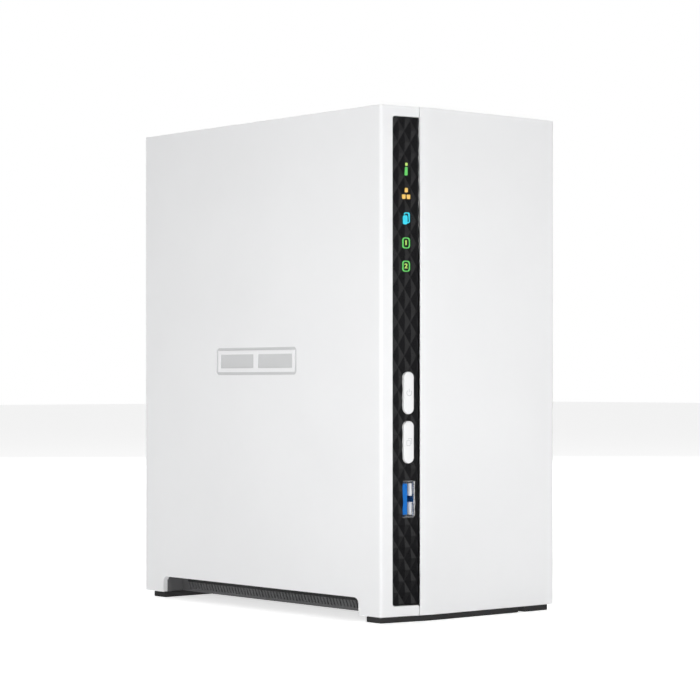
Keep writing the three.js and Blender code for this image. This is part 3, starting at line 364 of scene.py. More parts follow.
def bar(x, y, z):
    # a box with [from, to] along each axis
    return pushedUp([(x[0], y[0]), (x[1], y[0]), (x[1], y[1]), (x[0], y[1])], *z)


def turned(profile, steps=48):
    # a profile of (radius, height) turned round the z axis; a radius of 0 closes it
    shell = bmesh.new()
    rows = []
    for radius, height in profile:
        ring = level(circle(0, 0, radius, steps), height) if radius else [(0, 0, height)]
        rows.append([shell.verts.new((x * mm, y * mm, z * mm)) for x, y, z in ring])
    for low, high in zip(rows, rows[1:]):
        for i in range(steps):
            j = (i + 1) % steps
            corners = [low[i % len(low)], low[j % len(low)], high[j % len(high)], high[i % len(high)]]
            corners = list(dict.fromkeys(corners))
            if len(corners) > 2:
                shell.faces.new(corners)
    bmesh.ops.recalc_face_normals(shell, faces=shell.faces)
    return meshOf(shell, "turned")


def plainMesh(piece):
    # what the modifiers make, as a mesh of its own; the working object is removed
    bpy.context.view_layer.update()
    made = bpy.data.meshes.new_from_object(piece.evaluated_get(bpy.context.evaluated_depsgraph_get()))
    bpy.data.objects.remove(piece)
    return made


def carved(mesh, cutters, operation="DIFFERENCE"):
    # the mesh less each cutter in turn
    for shape in cutters:
        body, tool = newPiece("body", mesh, None), newPiece("tool", shape, None)
        cut = body.modifiers.new("cut", "BOOLEAN")
        cut.object = tool
        cut.operation = operation
        cut.solver = "EXACT"
        mesh = plainMesh(body)
        bpy.data.objects.remove(tool)
    return mesh


def gathered(meshes):
    whole = bmesh.new()
    for mesh in meshes:
        whole.from_mesh(mesh)
    return meshOf(whole, "gathered")


def times(tree, a, b):
    return calc(tree, "MULTIPLY", a, b)


def vector(tree, x=0.0, y=0.0, z=0.0):
    return addNode(tree, "ShaderNodeCombineXYZ", {"X": x, "Y": y, "Z": z}).outputs[0]


def openTree(name, **sizes):
    # a tree with a mesh, the sizes and a material as its named inputs
    tree = bpy.data.node_groups.new(name, "GeometryNodeTree")
    for label, kind in {"Geometry": "Geometry", **sizes, "Material": "Material"}.items():
        tree.interface.new_socket(label.replace("_", " "), in_out="INPUT", socket_type="NodeSocket" + kind)
    tree.interface.new_socket("Geometry", in_out="OUTPUT", socket_type="NodeSocketGeometry")
    return tree, addNode(tree, "NodeGroupInput").outputs


def closeTree(tree, given, points, shape, **pose):
    # the shape on each point, made real and given its material
    copies = addNode(tree, "GeometryNodeInstanceOnPoints", {"Points": points, "Instance": shape, **pose})
    real = addNode(tree, "GeometryNodeRealizeInstances", {"Geometry": copies.outputs["Instances"]}).outputs[0]
    painted = addNode(tree, "GeometryNodeSetMaterial", {"Geometry": real, "Material": given["Material"]})
    addNode(tree, "NodeGroupOutput", {"Geometry": painted.outputs["Geometry"]})
    return tree


def pointsOf(tree, mesh):
    return addNode(tree, "GeometryNodeMeshToPoints", {"Mesh": mesh}).outputs[0]


def gridOf(tree, columns, rows, stepX, stepY):
    wide, deep = (times(tree, calc(tree, "SUBTRACT", count, 1.0), step)
                  for count, step in ((columns, stepX), (rows, stepY)))
    return addNode(tree, "GeometryNodeMeshGrid", {
        "Size X": wide, "Size Y": deep, "Vertices X": columns, "Vertices Y": rows}).outputs["Mesh"]


def staggered(tree, grid, halfX, halfY):
    # the points of a grid, and those of the same grid moved half a cell
    shifted = addNode(tree, "GeometryNodeTransform", {
        "Geometry": grid, "Translation": vector(tree, halfX, halfY)}).outputs["Geometry"]
    both = addNode(tree, "GeometryNodeJoinGeometry")
    tree.links.new(grid, both.inputs[0])
    tree.links.new(shifted, both.inputs[0])
    return pointsOf(tree, both.outputs[0])


def grown(tree, finish, values, mesh):
    # runs a tree over a mesh with the given sizes, and returns the plain mesh
    values = {**values, "Material": finishes[finish]}
    piece = newPiece("grown", mesh, None)
    grow = piece.modifiers.new("grow", "NODES")
    grow.node_group = tree
    for item in tree.interface.items_tree:
        if item.in_out == "INPUT" and item.name in values:
            grow[item.identifier] = values[item.name]
    return plainMesh(piece)


def rowTree():
    # copies of a small shape in rows and columns, x by y
    tree, given = openTree("rowsAndColumns", Columns="Int", Rows="Int", Step_X="Float", Step_Y="Float")
    grid = gridOf(tree, *(given[label] for label in ("Columns", "Rows", "Step X", "Step Y")))
    return closeTree(tree, given, pointsOf(tree, grid), given["Geometry"])


def turnTree():
    # copies of a shape turned round the z axis
    tree, given = openTree("turnedCopies", Count="Int")
    line = addNode(tree, "GeometryNodeMeshLine", {"Count": given["Count"], "Offset": (0, 0, 0)}).outputs["Mesh"]
    index = addNode(tree, "GeometryNodeInputIndex").outputs[0]
    turn = calc(tree, "DIVIDE", times(tree, index, 2 * math.pi), given["Count"])
    return closeTree(tree, given, pointsOf(tree, line), given["Geometry"], Rotation=vector(tree, z=turn))


rowsAndColumns, turnedCopies = rowTree(), turnTree()


def inRows(mesh, finish, columns, rows, stepX, stepY):
    return grown(rowsAndColumns, finish, {
        "Columns": columns, "Rows": rows, "Step X": stepX * mm, "Step Y": stepY * mm}, mesh)


def inTurn(mesh, finish, count):
    return grown(turnedCopies, finish, {"Count": count}, mesh)


print("tools ready")


covers = {"edge": 0.35, "edgeSteps": 3}
for node, name, body in (("left_cover", "leftCover", "case"), ("right_cover", "rightCover", "right_cover")):
    softCopy(node, name, "cover_white", "coverWhite", covers["edge"], covers["edgeSteps"], body=body)
print("covers made")


strip = {
    "left": 5.35, "right": 16.9, "bottom": 6.15, "top": 184.65, "corner": 0.9,
    "peak": 0.3, "valley": 0.85, "back": 3.0, "firstColumn": 8.05, "columns": 5, "rows": 26,
    "diamondWide": 5.34, "diamondTall": 8.23, "firstPeak": 179.6, "signs": 11.3, "controls": 12.1,
}
buttonSize = {
    "wide": 4.3, "tall": 15.5, "proud": 0.4, "gap": 0.15, "edge": 0.45, "edgeSteps": 6, "root": 4.3,
    "shoulder": 1.0, "flange": 0.9, "stem": (2.4, 3.0, -8.0, -5.2), "heights": {"power": 83.8, "copy": 65.8},
}
usb = {
    "wide": 5.75, "tall": 13.15, "wall": 0.32, "corner": 0.45, "lip": 0.22,
    "blade": 2.2, "bladeInset": 0.55, "bladeTall": 11.4, "bladeStart": 0.25,
    "spring": {"tall": 4.6, "pitch": 6.9, "thick": 0.294},
    # how far a spring stands in from the wall, and how deep
    "springPath": [(0, -8), (-0.3, -6), (-0.6, -3.6), (-0.95, -1.6), (-0.95, -1.3), (-0.5, -0.6)],
}
frontUsb = {"middle": 44.9, "gap": 0.25, "openingFrom": 10.0, "mouth": 1.1, "deep": 12.0}


def stripOpenings():
    # right through the face: the two buttons and the port's mouth; wider behind the face: the port's shell
    wide, tall, gap = buttonSize["wide"], buttonSize["tall"], buttonSize["gap"]
    holes = [pillOutline(wide + 2 * gap, tall + 2 * gap, strip["controls"], z)
             for z in buttonSize["heights"].values()]
    halfTall = usb["tall"] / 2 + frontUsb["gap"]
    low, high = frontUsb["middle"] - halfTall, frontUsb["middle"] + halfTall
    halfWide = usb["wide"] / 2 + frontUsb["gap"]
    left, right = strip["controls"] - halfWide, strip["controls"] + halfWide
    holes.append(loopOf(frontUsb["openingFrom"], right, low, high, 0.25, 3))
    pocket = pushedUp(loopOf(left, right, low, high, 0.3, 3), -9, 0.02 - frontUsb["mouth"])
    return [cutter(hole) for hole in holes] + [pocket]


def diamondTree():
    # closed four-sided pyramids on two grids, one set half a cell off the other
    tree, given = openTree("diamondField", Cell_Width="Float", Cell_Height="Float", Relief="Float",
                           Columns="Int", Rows="Int")
    wide, tall = given["Cell Width"], given["Cell Height"]
    grid = gridOf(tree, given["Columns"], given["Rows"], wide, tall)
    points = staggered(tree, grid, times(tree, wide, 0.5), times(tree, tall, 0.5))
    pyramid = addNode(tree, "GeometryNodeMeshCone", {
        "Vertices": 4, "Radius Top": 0.0, "Radius Bottom": 1.0, "Depth": 1.0},
        fill_type="TRIANGLE_FAN").outputs["Mesh"]
    size = vector(tree, times(tree, wide, 0.4995), times(tree, tall, 0.4995), given["Relief"])
    return closeTree(tree, given, points, pyramid, Scale=size)


def frontStrip():
    left, right, back, valley = (strip[k] for k in ("left", "right", "back", "valley"))
    edge = [(min(x, right), y) for x, y in loopOf(
        left, right + 0.7, strip["bottom"], strip["top"], strip["corner"], 6)]
    openings = stripOpenings()
    plate = carved(pushedUp(edge, -back, -valley), openings)
    wide, tall, rows = strip["diamondWide"], strip["diamondTall"], strip["rows"]
    peaks = grown(diamondTree(), "stripBlack", {
        "Cell Width": wide * mm, "Cell Height": tall * mm, "Relief": (valley - strip["peak"]) * mm,
        "Columns": strip["columns"], "Rows": rows}, bpy.data.meshes.new("peaks"))
    lowest = strip["firstPeak"] - (rows - 2) * tall
    peaks.transform(at(strip["firstColumn"] + wide, lowest + (rows - 1) / 2 * tall, -valley))
    window = carved(pushedUp(edge, -(valley + 0.1), 1), openings)
    mesh = gathered([plate, carved(peaks, [window], "INTERSECT")])
    addPiece("frontStrip", moved(mesh, outOfFacet), "stripBlack", "strip_black", "front_strip")


frontStrip()
print("strip made")


signs = {
    "lift": 0.06, "line": 0.36, "narrow": 0.92, "cleft": 0.25,
    "status": {"wide": 1.1, "low": 163.3, "split": 166.35, "dotFrom": 166.8, "high": 167.9},
    "network": {"side": (1.35, 1.6), "top": 157.9, "foot": 155.5, "spread": 1.1},
    "copying": {"side": (1.85, 3.3), "at": (-0.4, 147.05), "behind": (0.3, 147.8), "behindSide": (2.6, 3.9)},
    "drives": {"side": (3.35, 4.0), "corner": 1.05, "at": (138.6, 130.1), "numeral": 2.5},
}


def signOutline(outline):
    return [(x * signs["narrow"] + strip["signs"], y) for x, y in outline]


def tile(cx, cy, wide, tall, corner=0.3):
    outline = signOutline(boxLoop(cx, cy, wide, tall, corner, 4))
    return pushedUp(outline, -strip["valley"], signs["lift"] - strip["peak"])


def ringTile(cx, cy, wide, tall, corner):
    line = signs["line"]
    inner = boxLoop(cx, cy, wide - 2 * line, tall - 2 * line, max(corner - line, 0.1), 4)
    return carved(tile(cx, cy, wide, tall, corner), [cutter(signOutline(inner))])


def numeral(text, cy, size):
    curve = bpy.data.curves.new("numeral", "FONT")
    curve.body = text
    curve.size = size * mm
    curve.extrude = (strip["valley"] - strip["peak"] + signs["lift"]) / 2 * mm
    curve.align_x, curve.align_y = "CENTER", "CENTER"
    curve.resolution_u = 3
    curve.offset = 0.02 * mm
    depth = (strip["valley"] + strip["peak"] - signs["lift"]) / 2
    return moved(plainMesh(newPiece("numeral", curve, None)), at(strip["signs"], cy, -depth))


def litSign(name, parts, finish):
    addPiece(name, moved(gathered(parts), outOfFacet), finish, "clear_plastic")


def litSigns():
    status, network, copying, drives = (signs[k] for k in ("status", "network", "copying", "drives"))
    for name, low, high, finish in (("statusDot", status["dotFrom"], status["high"], "lightLime"),
                                    ("statusStem", status["low"], status["split"], "lightGreen")):
        litSign(name, [tile(0, (low + high) / 2, status["wide"], high - low)], finish)
    spread, foot = network["spread"], network["foot"]
    litSign("networkSign", [tile(x, y, *network["side"]) for x, y in (
        (0, network["top"]), (-spread, foot), (spread, foot))], "lightAmber")
    (cx, cy), (wide, tall), cleft = copying["at"], copying["side"], signs["cleft"]
    gap = cutter(signOutline(loopOf(cx - wide / 2 - cleft, cx + wide / 2 + cleft, cy - tall / 2 - 9,
                                    cy + tall / 2 + cleft, 0.5, 4)))
    behind = carved(ringTile(*copying["behind"], *copying["behindSide"], 0.7), [gap])
    litSign("copyingSign", [tile(cx, cy, wide, tall, 0.6), behind], "lightCyan")
    for i, z in enumerate(drives["at"]):
        litSign(f"driveSign{i + 1}", [ringTile(0, z, *drives["side"], drives["corner"])], "lightGreen")
        litSign(f"driveNumeral{i + 1}", [numeral(str(i + 1), z, drives["numeral"])], "lightLime")


litSigns()
softCopy("light_guide", "lightGuide", "clear_plastic", "clear", 0.1)
print("signs made")


def pillRing(inset, height, cy):
    wide, tall = buttonSize["wide"] - 2 * inset, buttonSize["tall"] - 2 * inset
    return level(pillOutline(wide, tall, strip["controls"], cy, 14), height)


def buttonMesh(cy):
    root, proud, edge, steps, flange = (buttonSize[k] for k in ("root", "proud", "edge", "edgeSteps", "flange"))
    rings = [pillRing(0, -root, cy), pillRing(0, proud - edge, cy)]
    for i in range(1, steps + 1):
        turn = math.pi / 2 * i / steps
        rings.append(pillRing(edge * (1 - math.cos(turn)), proud - edge * (1 - math.sin(turn)), cy))
    shoulder = [pillRing(-flange, -root - buttonSize["shoulder"], cy), pillRing(-flange, -root, cy)]
    wide, tall, low, high = buttonSize["stem"]
    middle = strip["controls"]
    stem = bar([middle - wide / 2, middle + wide / 2], [cy - tall / 2, cy + tall / 2], [low, high])
    return moved(gathered([solidLoft(rings), solidLoft(shoulder), stem]), outOfFacet)


def arcStroke(cx, cy, radius, width, start, end, steps=24):
    turns = [math.radians(start + (end - start) * i / steps) for i in range(steps + 1)]
    return [(cx + r * math.cos(turn), cy + r * math.sin(turn))
            for r, path in ((radius + width / 2, turns), (radius - width / 2, turns[::-1])) for turn in path]


def printed(outline):
    return pushedUp(outline, buttonSize["proud"] - 0.05, buttonSize["proud"] + 0.012)


def buttonPrint(kind, x, y):
    if kind == "power":
        return [printed(arcStroke(x, y, 1.05, 0.26, 130, 410)),
                printed(loopOf(x - 0.13, x + 0.13, y + 0.2, y + 1.45, 0.05, 2))]
    front = printed(loopOf(x - 1.15, x + 0.55, y - 1.4, y + 0.7, 0.3, 4))
    hole = cutter(loopOf(x - 0.93, x + 0.33, y - 1.18, y + 0.48, 0.15, 4))
    corner = [(-0.45, 1.0), (-0.45, 1.4), (1.15, 1.4), (1.15, -0.7), (0.8, -0.7), (0.8, -0.48), (0.93, -0.48),
              (0.93, 1.18), (-0.23, 1.18), (-0.23, 1.0)]
    return [carved(front, [hole]), printed([(x + dx, y + dy) for dx, dy in corner])]


for kind, height in buttonSize["heights"].items():
    node = kind + "_button"
    addPiece(kind + "Button", buttonMesh(height), "buttonWhite", "cover_white", node, body=node, sharp=40)
    sign = gathered(buttonPrint(kind, strip["controls"], height))
    addPiece(kind + "Print", moved(sign, outOfFacet), "printGrey", "insert_white", body=node)
print("buttons made")


def usbShell(deep):
    # x across, y up and height towards the mouth, which is at 0
    def ring(height, grow):
        return level(boxLoop(0, 0, usb["wide"] + 2 * grow, usb["tall"] + 2 * grow,
                             usb["corner"] + max(grow, 0), 5), height)

    wall, lip = usb["wall"], usb["lip"]
    tube = solidLoft([ring(*at) for at in ((-deep, 0), (-0.5, 0), (-0.2, lip * 0.4), (0, lip))])
    bore = solidLoft([ring(*at) for at in (
        (-deep + wall, -wall), (-0.5, -wall), (-0.2, lip * 0.4 - wall), (0.5, lip * 1.6 - wall))])
    return carved(tube, [bore])


def usbSprings():
    # two bent fingers on each wide wall, rooted deep in the shell and pressing inwards near the mouth
    spring, parts = usb["spring"], []
    for side in (-1, 1):
        for row in (-0.5, 0.5):
            low, high = (row * spring["pitch"] + half * spring["tall"] for half in (-0.5, 0.5))
            rings = []
            for dx, h in usb["springPath"]:
                near = side * (usb["wide"] / 2 - usb["wall"] + dx)
                far = near + side * spring["thick"]
                rings.append([(near, low, h), (far, low, h), (far, high, h), (near, high, h)])
            parts.append(solidLoft(rings))
    return parts


def usbTongue(deep, side):
    # the blade stands nearer one wide wall, and its contacts face the other
    wall, thick = usb["wide"] / 2 - usb["wall"], usb["blade"]
    middle = side * (wall - usb["bladeInset"] - thick / 2)
    blade = pushedUp(boxLoop(middle, 0, thick, usb["bladeTall"], 0.25, 4), -deep + 1, -usb["bladeStart"])
    base = pushedUp(boxLoop(0, 0, 2 * wall - 0.1, usb["tall"] - 2 * usb["wall"] - 0.1, 0.2, 3),
                    -deep + 0.4, -deep + 3.6)
    return [blade, base], middle + side * thick / 2


def usbPort(name, place, deep, side, tongue, slot, count, span, number):
    # place takes x across, y up and height out of the mouth to where the port is
    addPiece(name + "Shell", moved(usbShell(deep), place), "shellSteel", "plated_steel",
             number.format("shell"), sharp=30)
    addPiece(name + "Springs", moved(gathered(usbSprings()), place), "tinPlate", "plated_steel", sharp=40)
    parts, face = usbTongue(deep, side)
    addPiece(name + "Tongue", moved(gathered(parts), place), tongue, slot, number.format("tongue"), sharp=40)
    contact = bar([-0.04, 0.06], [-0.45, 0.45], [-8.5, -0.95])
    row = moved(inRows(contact, "gold", 1, count, 0, span / (count - 1)), at(face, 0, 0))
    addPiece(name + "Contacts", moved(row, place), "gold", "contact_gold")


outOfRear = drawnTo(leftward, upward, backward)
frontPort = facetPlace @ at(strip["controls"], frontUsb["mouth"], frontUsb["middle"]) @ outOfBand
usbPort("frontUsb", frontPort, frontUsb["deep"], -1, "usbBlue", "usb_blue", 5, 8.6, "front_usb_{}")
for i in (1, 2):
    low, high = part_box(f"rear_usb_shell_{i}")
    mouth = Matrix.Translation(((low.x + high.x) / 2, high.y, (low.z + high.z) / 2)) @ outOfRear
    usbPort(f"rearUsb{i}", mouth, 14, 1, "insertWhite", "insert_white", 4, 7.5, "rear_usb_{}_" + str(i))
print("USB ports made")


softCopy("base_tub", "baseTub", "dark_plastic", "tubDark", 0.07, 1)
for end in ("front", "rear"):
    for size in ("long", "short"):
        softCopy(f"foot_{end}_{size}", f"foot{end.capitalize()}{size.capitalize()}", "foot_rubber",
                 "footRubber", 0.25)
# the sizes after deep are for thin dark pieces that paint the shade in the air gaps
airGap = {"rear": 57.9, "front": -61.1, "deep": 10.0, "shadeSheet": (2.1, 0.12), "shadeSheetUp": (2.4, 7.4),
          "shadeStrip": 0.3, "shadeStripUp": (6.05, 7.9)}
sideMark = {"middle": (-0.1, 95.9), "size": (50, 10.6), "corner": 1.6, "line": 1.1, "bay": (21, 5.4),
            "fromMiddle": 11.9, "floor": -0.4, "ink": 0.04}


def paintedGapShade():
    # painted shade: a thin dark sheet on the cover's edge at the rear end of each air gap, and a black strip above the
    # slots, both standing for the shade there
    wide, thin = airGap["shadeSheet"]
    for name, body, side in (("left", "case", -1), ("right", "right_cover", 1)):
        outer = abs(caseLow.x / mm)
        across = sorted((side * (outer - 0.05), side * (outer - 0.05 - wide)))
        along = [airGap["rear"] - thin, airGap["rear"] - 0.01]
        # a thin dark sheet painting the shade on the white return face at the gap's rear end
        addPiece(name + "GapShadeSheet", bar(across, along, airGap["shadeSheetUp"]), "tubDark", "dark_plastic", body=body)
        # a black strip painting the shade under the gap's top edge, above the slots
        wall = side * (outer - airGap["deep"])
        across = sorted((wall, wall + side * airGap["shadeStrip"]))
        along = [airGap["front"] + 1, airGap["rear"] - 1]
        addPiece(name + "GapShadeStrip", bar(across, along, airGap["shadeStripUp"]), "footRubber", "foot_rubber", edges=(0.1,))


def markInk():
    # grey ink on the floor of the pressed-in mark: a frame with two bays
    (y, z), (wide, tall), line, ink = (sideMark[k] for k in ("middle", "size", "line", "ink"))
    heights = sideMark["floor"] + ink, sideMark["floor"] + 2 * ink
    window = cutter(boxLoop(y, z, wide - 2 * line, tall - 2 * line, 0.05, 2))
    border = carved(pushedUp(boxLoop(y, z, wide, tall, sideMark["corner"], 6), *heights), [window])
    bays = [pushedUp(boxLoop(y + side * sideMark["fromMiddle"], z, *sideMark["bay"], 0.05, 2), *heights)
            for side in (-1, 1)]
    outOfSide = drawnTo(backward, upward, leftward, (caseLow.x, 0, 0))
    addPiece("sideMarkInk", moved(gathered([border] + bays), outOfSide), "markGrey", "insert_white")


paintedGapShade()
markInk()
print("tray and feet made")


def cornersOf(node):
    # a CAD node's corners in millimetres
    low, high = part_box(node)
    return low / mm, high / mm


def middleOf(node, first, second):
    low, high = cornersOf(node)
    return [(getattr(low, axis) + getattr(high, axis)) / 2 for axis in (first, second)]


def around(node, gap):
    # the outline of a node seen along y, with a gap all round
    low, high = cornersOf(node)
    return loopOf(low.x - gap, high.x + gap, low.z - gap, high.z + gap, 0.3, 4)


# rear panel: x and y become x and z, and height points out of the back
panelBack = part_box("rear_panel")[1].y
outOfPanel = drawnTo(rightward, upward, backward, (0, panelBack, 0))
# mainboard: x and y become y and z, and height points to the left
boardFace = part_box("mainboard")[0].x
outOfBoard = drawnTo(backward, upward, leftward, (boardFace, 0, 0))
outOfCage = drawnTo(rightward, upward, forward, (0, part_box("drive_cage")[0].y, 0))
panel = {
    "thick": 1.2, "edge": 0.1, "cut": (-3, 2),
    "hole": 2.75, "holeCorner": 0.5, "pitch": 6.3, "reach": 35.1, "rows": 13,
    "screwHole": 1.7, "thumbHole": 1.75, "resetHole": 1.1, "lock": (17.5, 63.5, 3.0, 7.0, 0.7),
    "gaps": {"rear_usb_shell_1": 0.17, "rear_usb_shell_2": 0.17, "lan_jack": 0.35, "power_jack": 0.35},
}
fanAxis = (0.0, 139.5)
fanPitch = 71.5
thumbPlaces = [middleOf("thumbscrew_" + which, "x", "z") for which in ("lower", "upper")]
panelScrews = {"x": (-16.0, 26.0), "z": 18.0}


def honeycombTree():
    # copies of a shape on a honeycomb grid, kept within a radius
    tree, given = openTree("honeycomb", Pitch="Float", Rows="Int", Reach="Float")
    pitch, rows = given["Pitch"], given["Rows"]
    rowStep = times(tree, pitch, math.cos(math.pi / 6))
    grid = gridOf(tree, rows, rows, pitch, times(tree, rowStep, 2.0))
    points = staggered(tree, grid, times(tree, pitch, 0.5), rowStep)
    place = addNode(tree, "GeometryNodeInputPosition").outputs[0]
    away = addNode(tree, "ShaderNodeVectorMath", {0: place}, operation="LENGTH").outputs["Value"]
    tooFar = addNode(tree, "FunctionNodeCompare", {0: away, 1: given["Reach"]}, data_type="FLOAT",
                     operation="GREATER_EQUAL").outputs[0]
    kept = addNode(tree, "GeometryNodeDeleteGeometry", {"Geometry": points, "Selection": tooFar}).outputs[0]
    return closeTree(tree, given, kept, given["Geometry"])


def cellOutline():
    # a hexagon whose corners are cut round
    points = []
    for i in range(6):
        for bend in (-0.5, -0.17, 0.17, 0.5):
            reach = panel["hole"] - panel["holeCorner"] * (0.32 if abs(bend) > 0.3 else 0.18)
            turn = math.pi / 3 * i + bend * 0.28
            points.append((reach * math.cos(turn), reach * math.sin(turn)))
    return points


def rearPanel():
    low, high = cornersOf("rear_panel")
    plate = pushedUp(loopOf(low.x, high.x, low.z, high.z, 0.6, 4), -panel["thick"], 0)
    outlines = [around(node, gap) for node, gap in panel["gaps"].items()] + [boxLoop(*panel["lock"], 5)]
    outlines.append(circle(*middleOf("reset_button", "x", "z"), panel["resetHole"]))
    outlines += [circle(x, z, panel["thumbHole"]) for x, z in thumbPlaces]
    outlines += [circle(x, panelScrews["z"], panel["screwHole"]) for x in panelScrews["x"]]
    outlines += [circle(fanAxis[0] + a * fanPitch / 2, fanAxis[1] + b * fanPitch / 2, panel["screwHole"])
                 for a in (-1, 1) for b in (-1, 1)]
    holes = grown(honeycombTree(), "panelPaint", {
        "Pitch": panel["pitch"] * mm, "Rows": panel["rows"], "Reach": panel["reach"] * mm},
        pushedUp(cellOutline(), *panel["cut"]))
    holes.transform(at(*fanAxis, 0))
    pegs = [pushedUp(outline, *panel["cut"]) for outline in outlines]
    mesh = carved(plate, [gathered(pegs + [holes])])
    addPiece("rearPanel", moved(mesh, outOfPanel), "panelPaint", "panel_painted", "rear_panel",
             edges=(panel["edge"], 1))


rearPanel()
print("rear panel made")


def screwMesh(head, tall, length, shank=1.35):
    # a pan head with a cross in it; height 0 is where the head sits
    body = turned([(0, tall), (head * 0.42, tall * 0.985), (head * 0.74, tall * 0.84), (head * 0.94, tall * 0.5),
                   (head, tall * 0.18), (head, 0), (shank, 0), (shank, -length + 0.4), (shank - 0.35, -length),
                   (0, -length)], 28)
    arm, half, depth = [-head * 0.52, head * 0.52], [-0.3, 0.3], [tall - 0.85, tall + 1]
    return carved(body, [bar(arm, half, depth), bar(half, arm, depth)])


def screwRows(name, mesh, columns, rows, steps, middle, matrix, *nodes):
    made = moved(inRows(mesh, "plated", columns, rows, *steps), at(*middle, 0.1))
    addPiece(name, moved(made, matrix), "plated", "plated_steel", *nodes, sharp=35)


def spanOf(places):
    # the step between two places, and their middle
    low, high = sorted(places)
    return high - low, (low + high) / 2


screwPlaces = [middleOf(f"drive_screw_{i}", "x", "z") for i in (1, 2, 3, 4)]
(stepX, middleX), (stepZ, middleZ) = (spanOf({round(place[k], 2) for place in screwPlaces}) for k in (0, 1))
screwRows("fanScrews", screwMesh(2.9, 1.6, 6), 2, 2, (fanPitch, fanPitch), fanAxis, outOfPanel,
          *(f"fan_screw_{i}" for i in (1, 2, 3, 4)))
panelStep, panelMiddle = spanOf(panelScrews["x"])
screwRows("panelScrews", screwMesh(2.9, 1.6, 3.2), 2, 1, (panelStep, 1), (panelMiddle, panelScrews["z"]),
          outOfPanel)
screwRows("driveScrews", screwMesh(2.7, 1.6, 4.5), 2, 2, (stepX, stepZ), (middleX, middleZ), outOfCage,
          *(f"drive_screw_{i}" for i in (1, 2, 3, 4)))
screwRows("boardScrews", screwMesh(2.6, 1.5, 3), 2, 2, (86.3, 145.0), (-9.85, 94.5), outOfBoard)
print("screws made")

thumb = {"radius": 3.5, "long": 5.2, "ridge": 0.28, "ridges": 36, "shank": 1.5, "slot": 0.9, "slotDeep": 1.0}


def thumbscrew():
    # height 0 is the face that meets the panel
    core, tip, shank = thumb["radius"] - thumb["ridge"], thumb["long"], thumb["shank"]
    body = turned([(0, tip - 0.25), (1.9, tip - 0.25), (2.2, tip), (core - 0.35, tip), (core - 0.05, tip - 0.25),
                   (core - 0.05, tip - 0.7), (core - 0.3, tip - 0.85), (core, tip - 1.0), (core, 0.8),
                   (core - 0.35, 0.6), (core - 0.35, 0), (shank, 0), (shank, -7.6), (shank - 0.4, -8), (0, -8)], 72)
    half = math.pi * core / thumb["ridges"] * 0.92
    ridge = solidLoft([[(core - 0.1, -half, h), (core + thumb["ridge"] * full, 0, h), (core - 0.1, half, h)]
                       for h, full in ((0.85, 0.1), (1.1, 1), (tip - 1.3, 1), (tip - 1.05, 0.1))])
    slot = bar([-5, 5], [-thumb["slot"] / 2, thumb["slot"] / 2], [tip - thumb["slotDeep"], tip + 1])
    return gathered([carved(body, [slot]), inTurn(ridge, "plated", thumb["ridges"])])


for which, (x, z) in zip(("lower", "upper"), thumbPlaces):
    node = "thumbscrew_" + which
    base = (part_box(node)[1].y - panelBack) / mm - thumb["long"]
    mesh = moved(moved(thumbscrew(), at(x, z, base)), outOfPanel)
    addPiece("thumbscrew" + which.capitalize(), mesh, "plated", "plated_steel", node, body=node, sharp=30)
print("thumbscrews made")

fan = {"hub": 18.5, "tip": 37.0, "front": 46.5, "rear": 66.3, "blades": 7, "rings": 9, "chordSteps": 8,
       "thick": 1.5, "label": 15, "labelLift": -1.75}


def bladeMesh():
    steps, root = fan["chordSteps"], fan["hub"] - 0.8
    path = [(k / steps - 0.5, 0.5) for k in range(steps + 1)] + [(0.5 - k / steps, -0.5) for k in range(steps + 1)]
    rings = []
    for i in range(fan["rings"] + 1):
        t = i / fan["rings"]
        radius = root + (fan["tip"] - 0.15 - root) * t
        pitch, sweep, chord = 0.95 - 0.35 * t, 0.32 * t, 17 + 5 * t
        ring = []
        for along, side in path:
            rounding = math.sqrt(max(0.04, 1 - (2 * along) ** 2))
            turn = sweep + along * chord * math.cos(pitch) / radius
            height = (fan["front"] + fan["rear"]) / 2 + along * chord * math.sin(pitch) * 1.05
            height += side * fan["thick"] * rounding + 0.9 * (0.25 - along * along)
            ring.append((radius * math.cos(turn), radius * math.sin(turn), height))
        rings.append(ring)
    return solidLoft(rings)


def fanRotor():
    front, rear, hub = fan["front"], fan["rear"], fan["hub"]
    cup = turned([(0, front), (hub - 3, front), (hub - 1.2, front + 0.35), (hub - 0.3, front + 1.2), (hub, front + 2.4),
                  (hub, rear - 0.3), (hub - 0.3, rear), (hub - 1.6, rear), (hub - 1.6, front + 1.8), (1.5, front + 1.8),
                  (1.5, rear - 0.2), (0, rear - 0.2)], 64)
    outOfFan = drawnTo(rightward, upward, backward, (fanAxis[0] * mm, 0, fanAxis[1] * mm))
    mesh = gathered([inTurn(bladeMesh(), "fanDark", fan["blades"]), cup])
    addPiece("fanRotor", moved(mesh, outOfFan), "fanDark", "dark_plastic", "fan_rotor", body="fan_rotor", sharp=35)
    label = turned([(0, 0.06), (fan["label"] - 0.2, 0.06), (fan["label"], 0), (0, 0)])
    label.transform(at(*fanAxis, fan["labelLift"]))
    addPiece("fanLabel", moved(label, outOfPanel), "labelPaper", "insert_white")


fanRotor()
softCopy("fan_frame", "fanFrame", "dark_plastic", "fanDark", 0.3, 2, 40)
print("fan made")

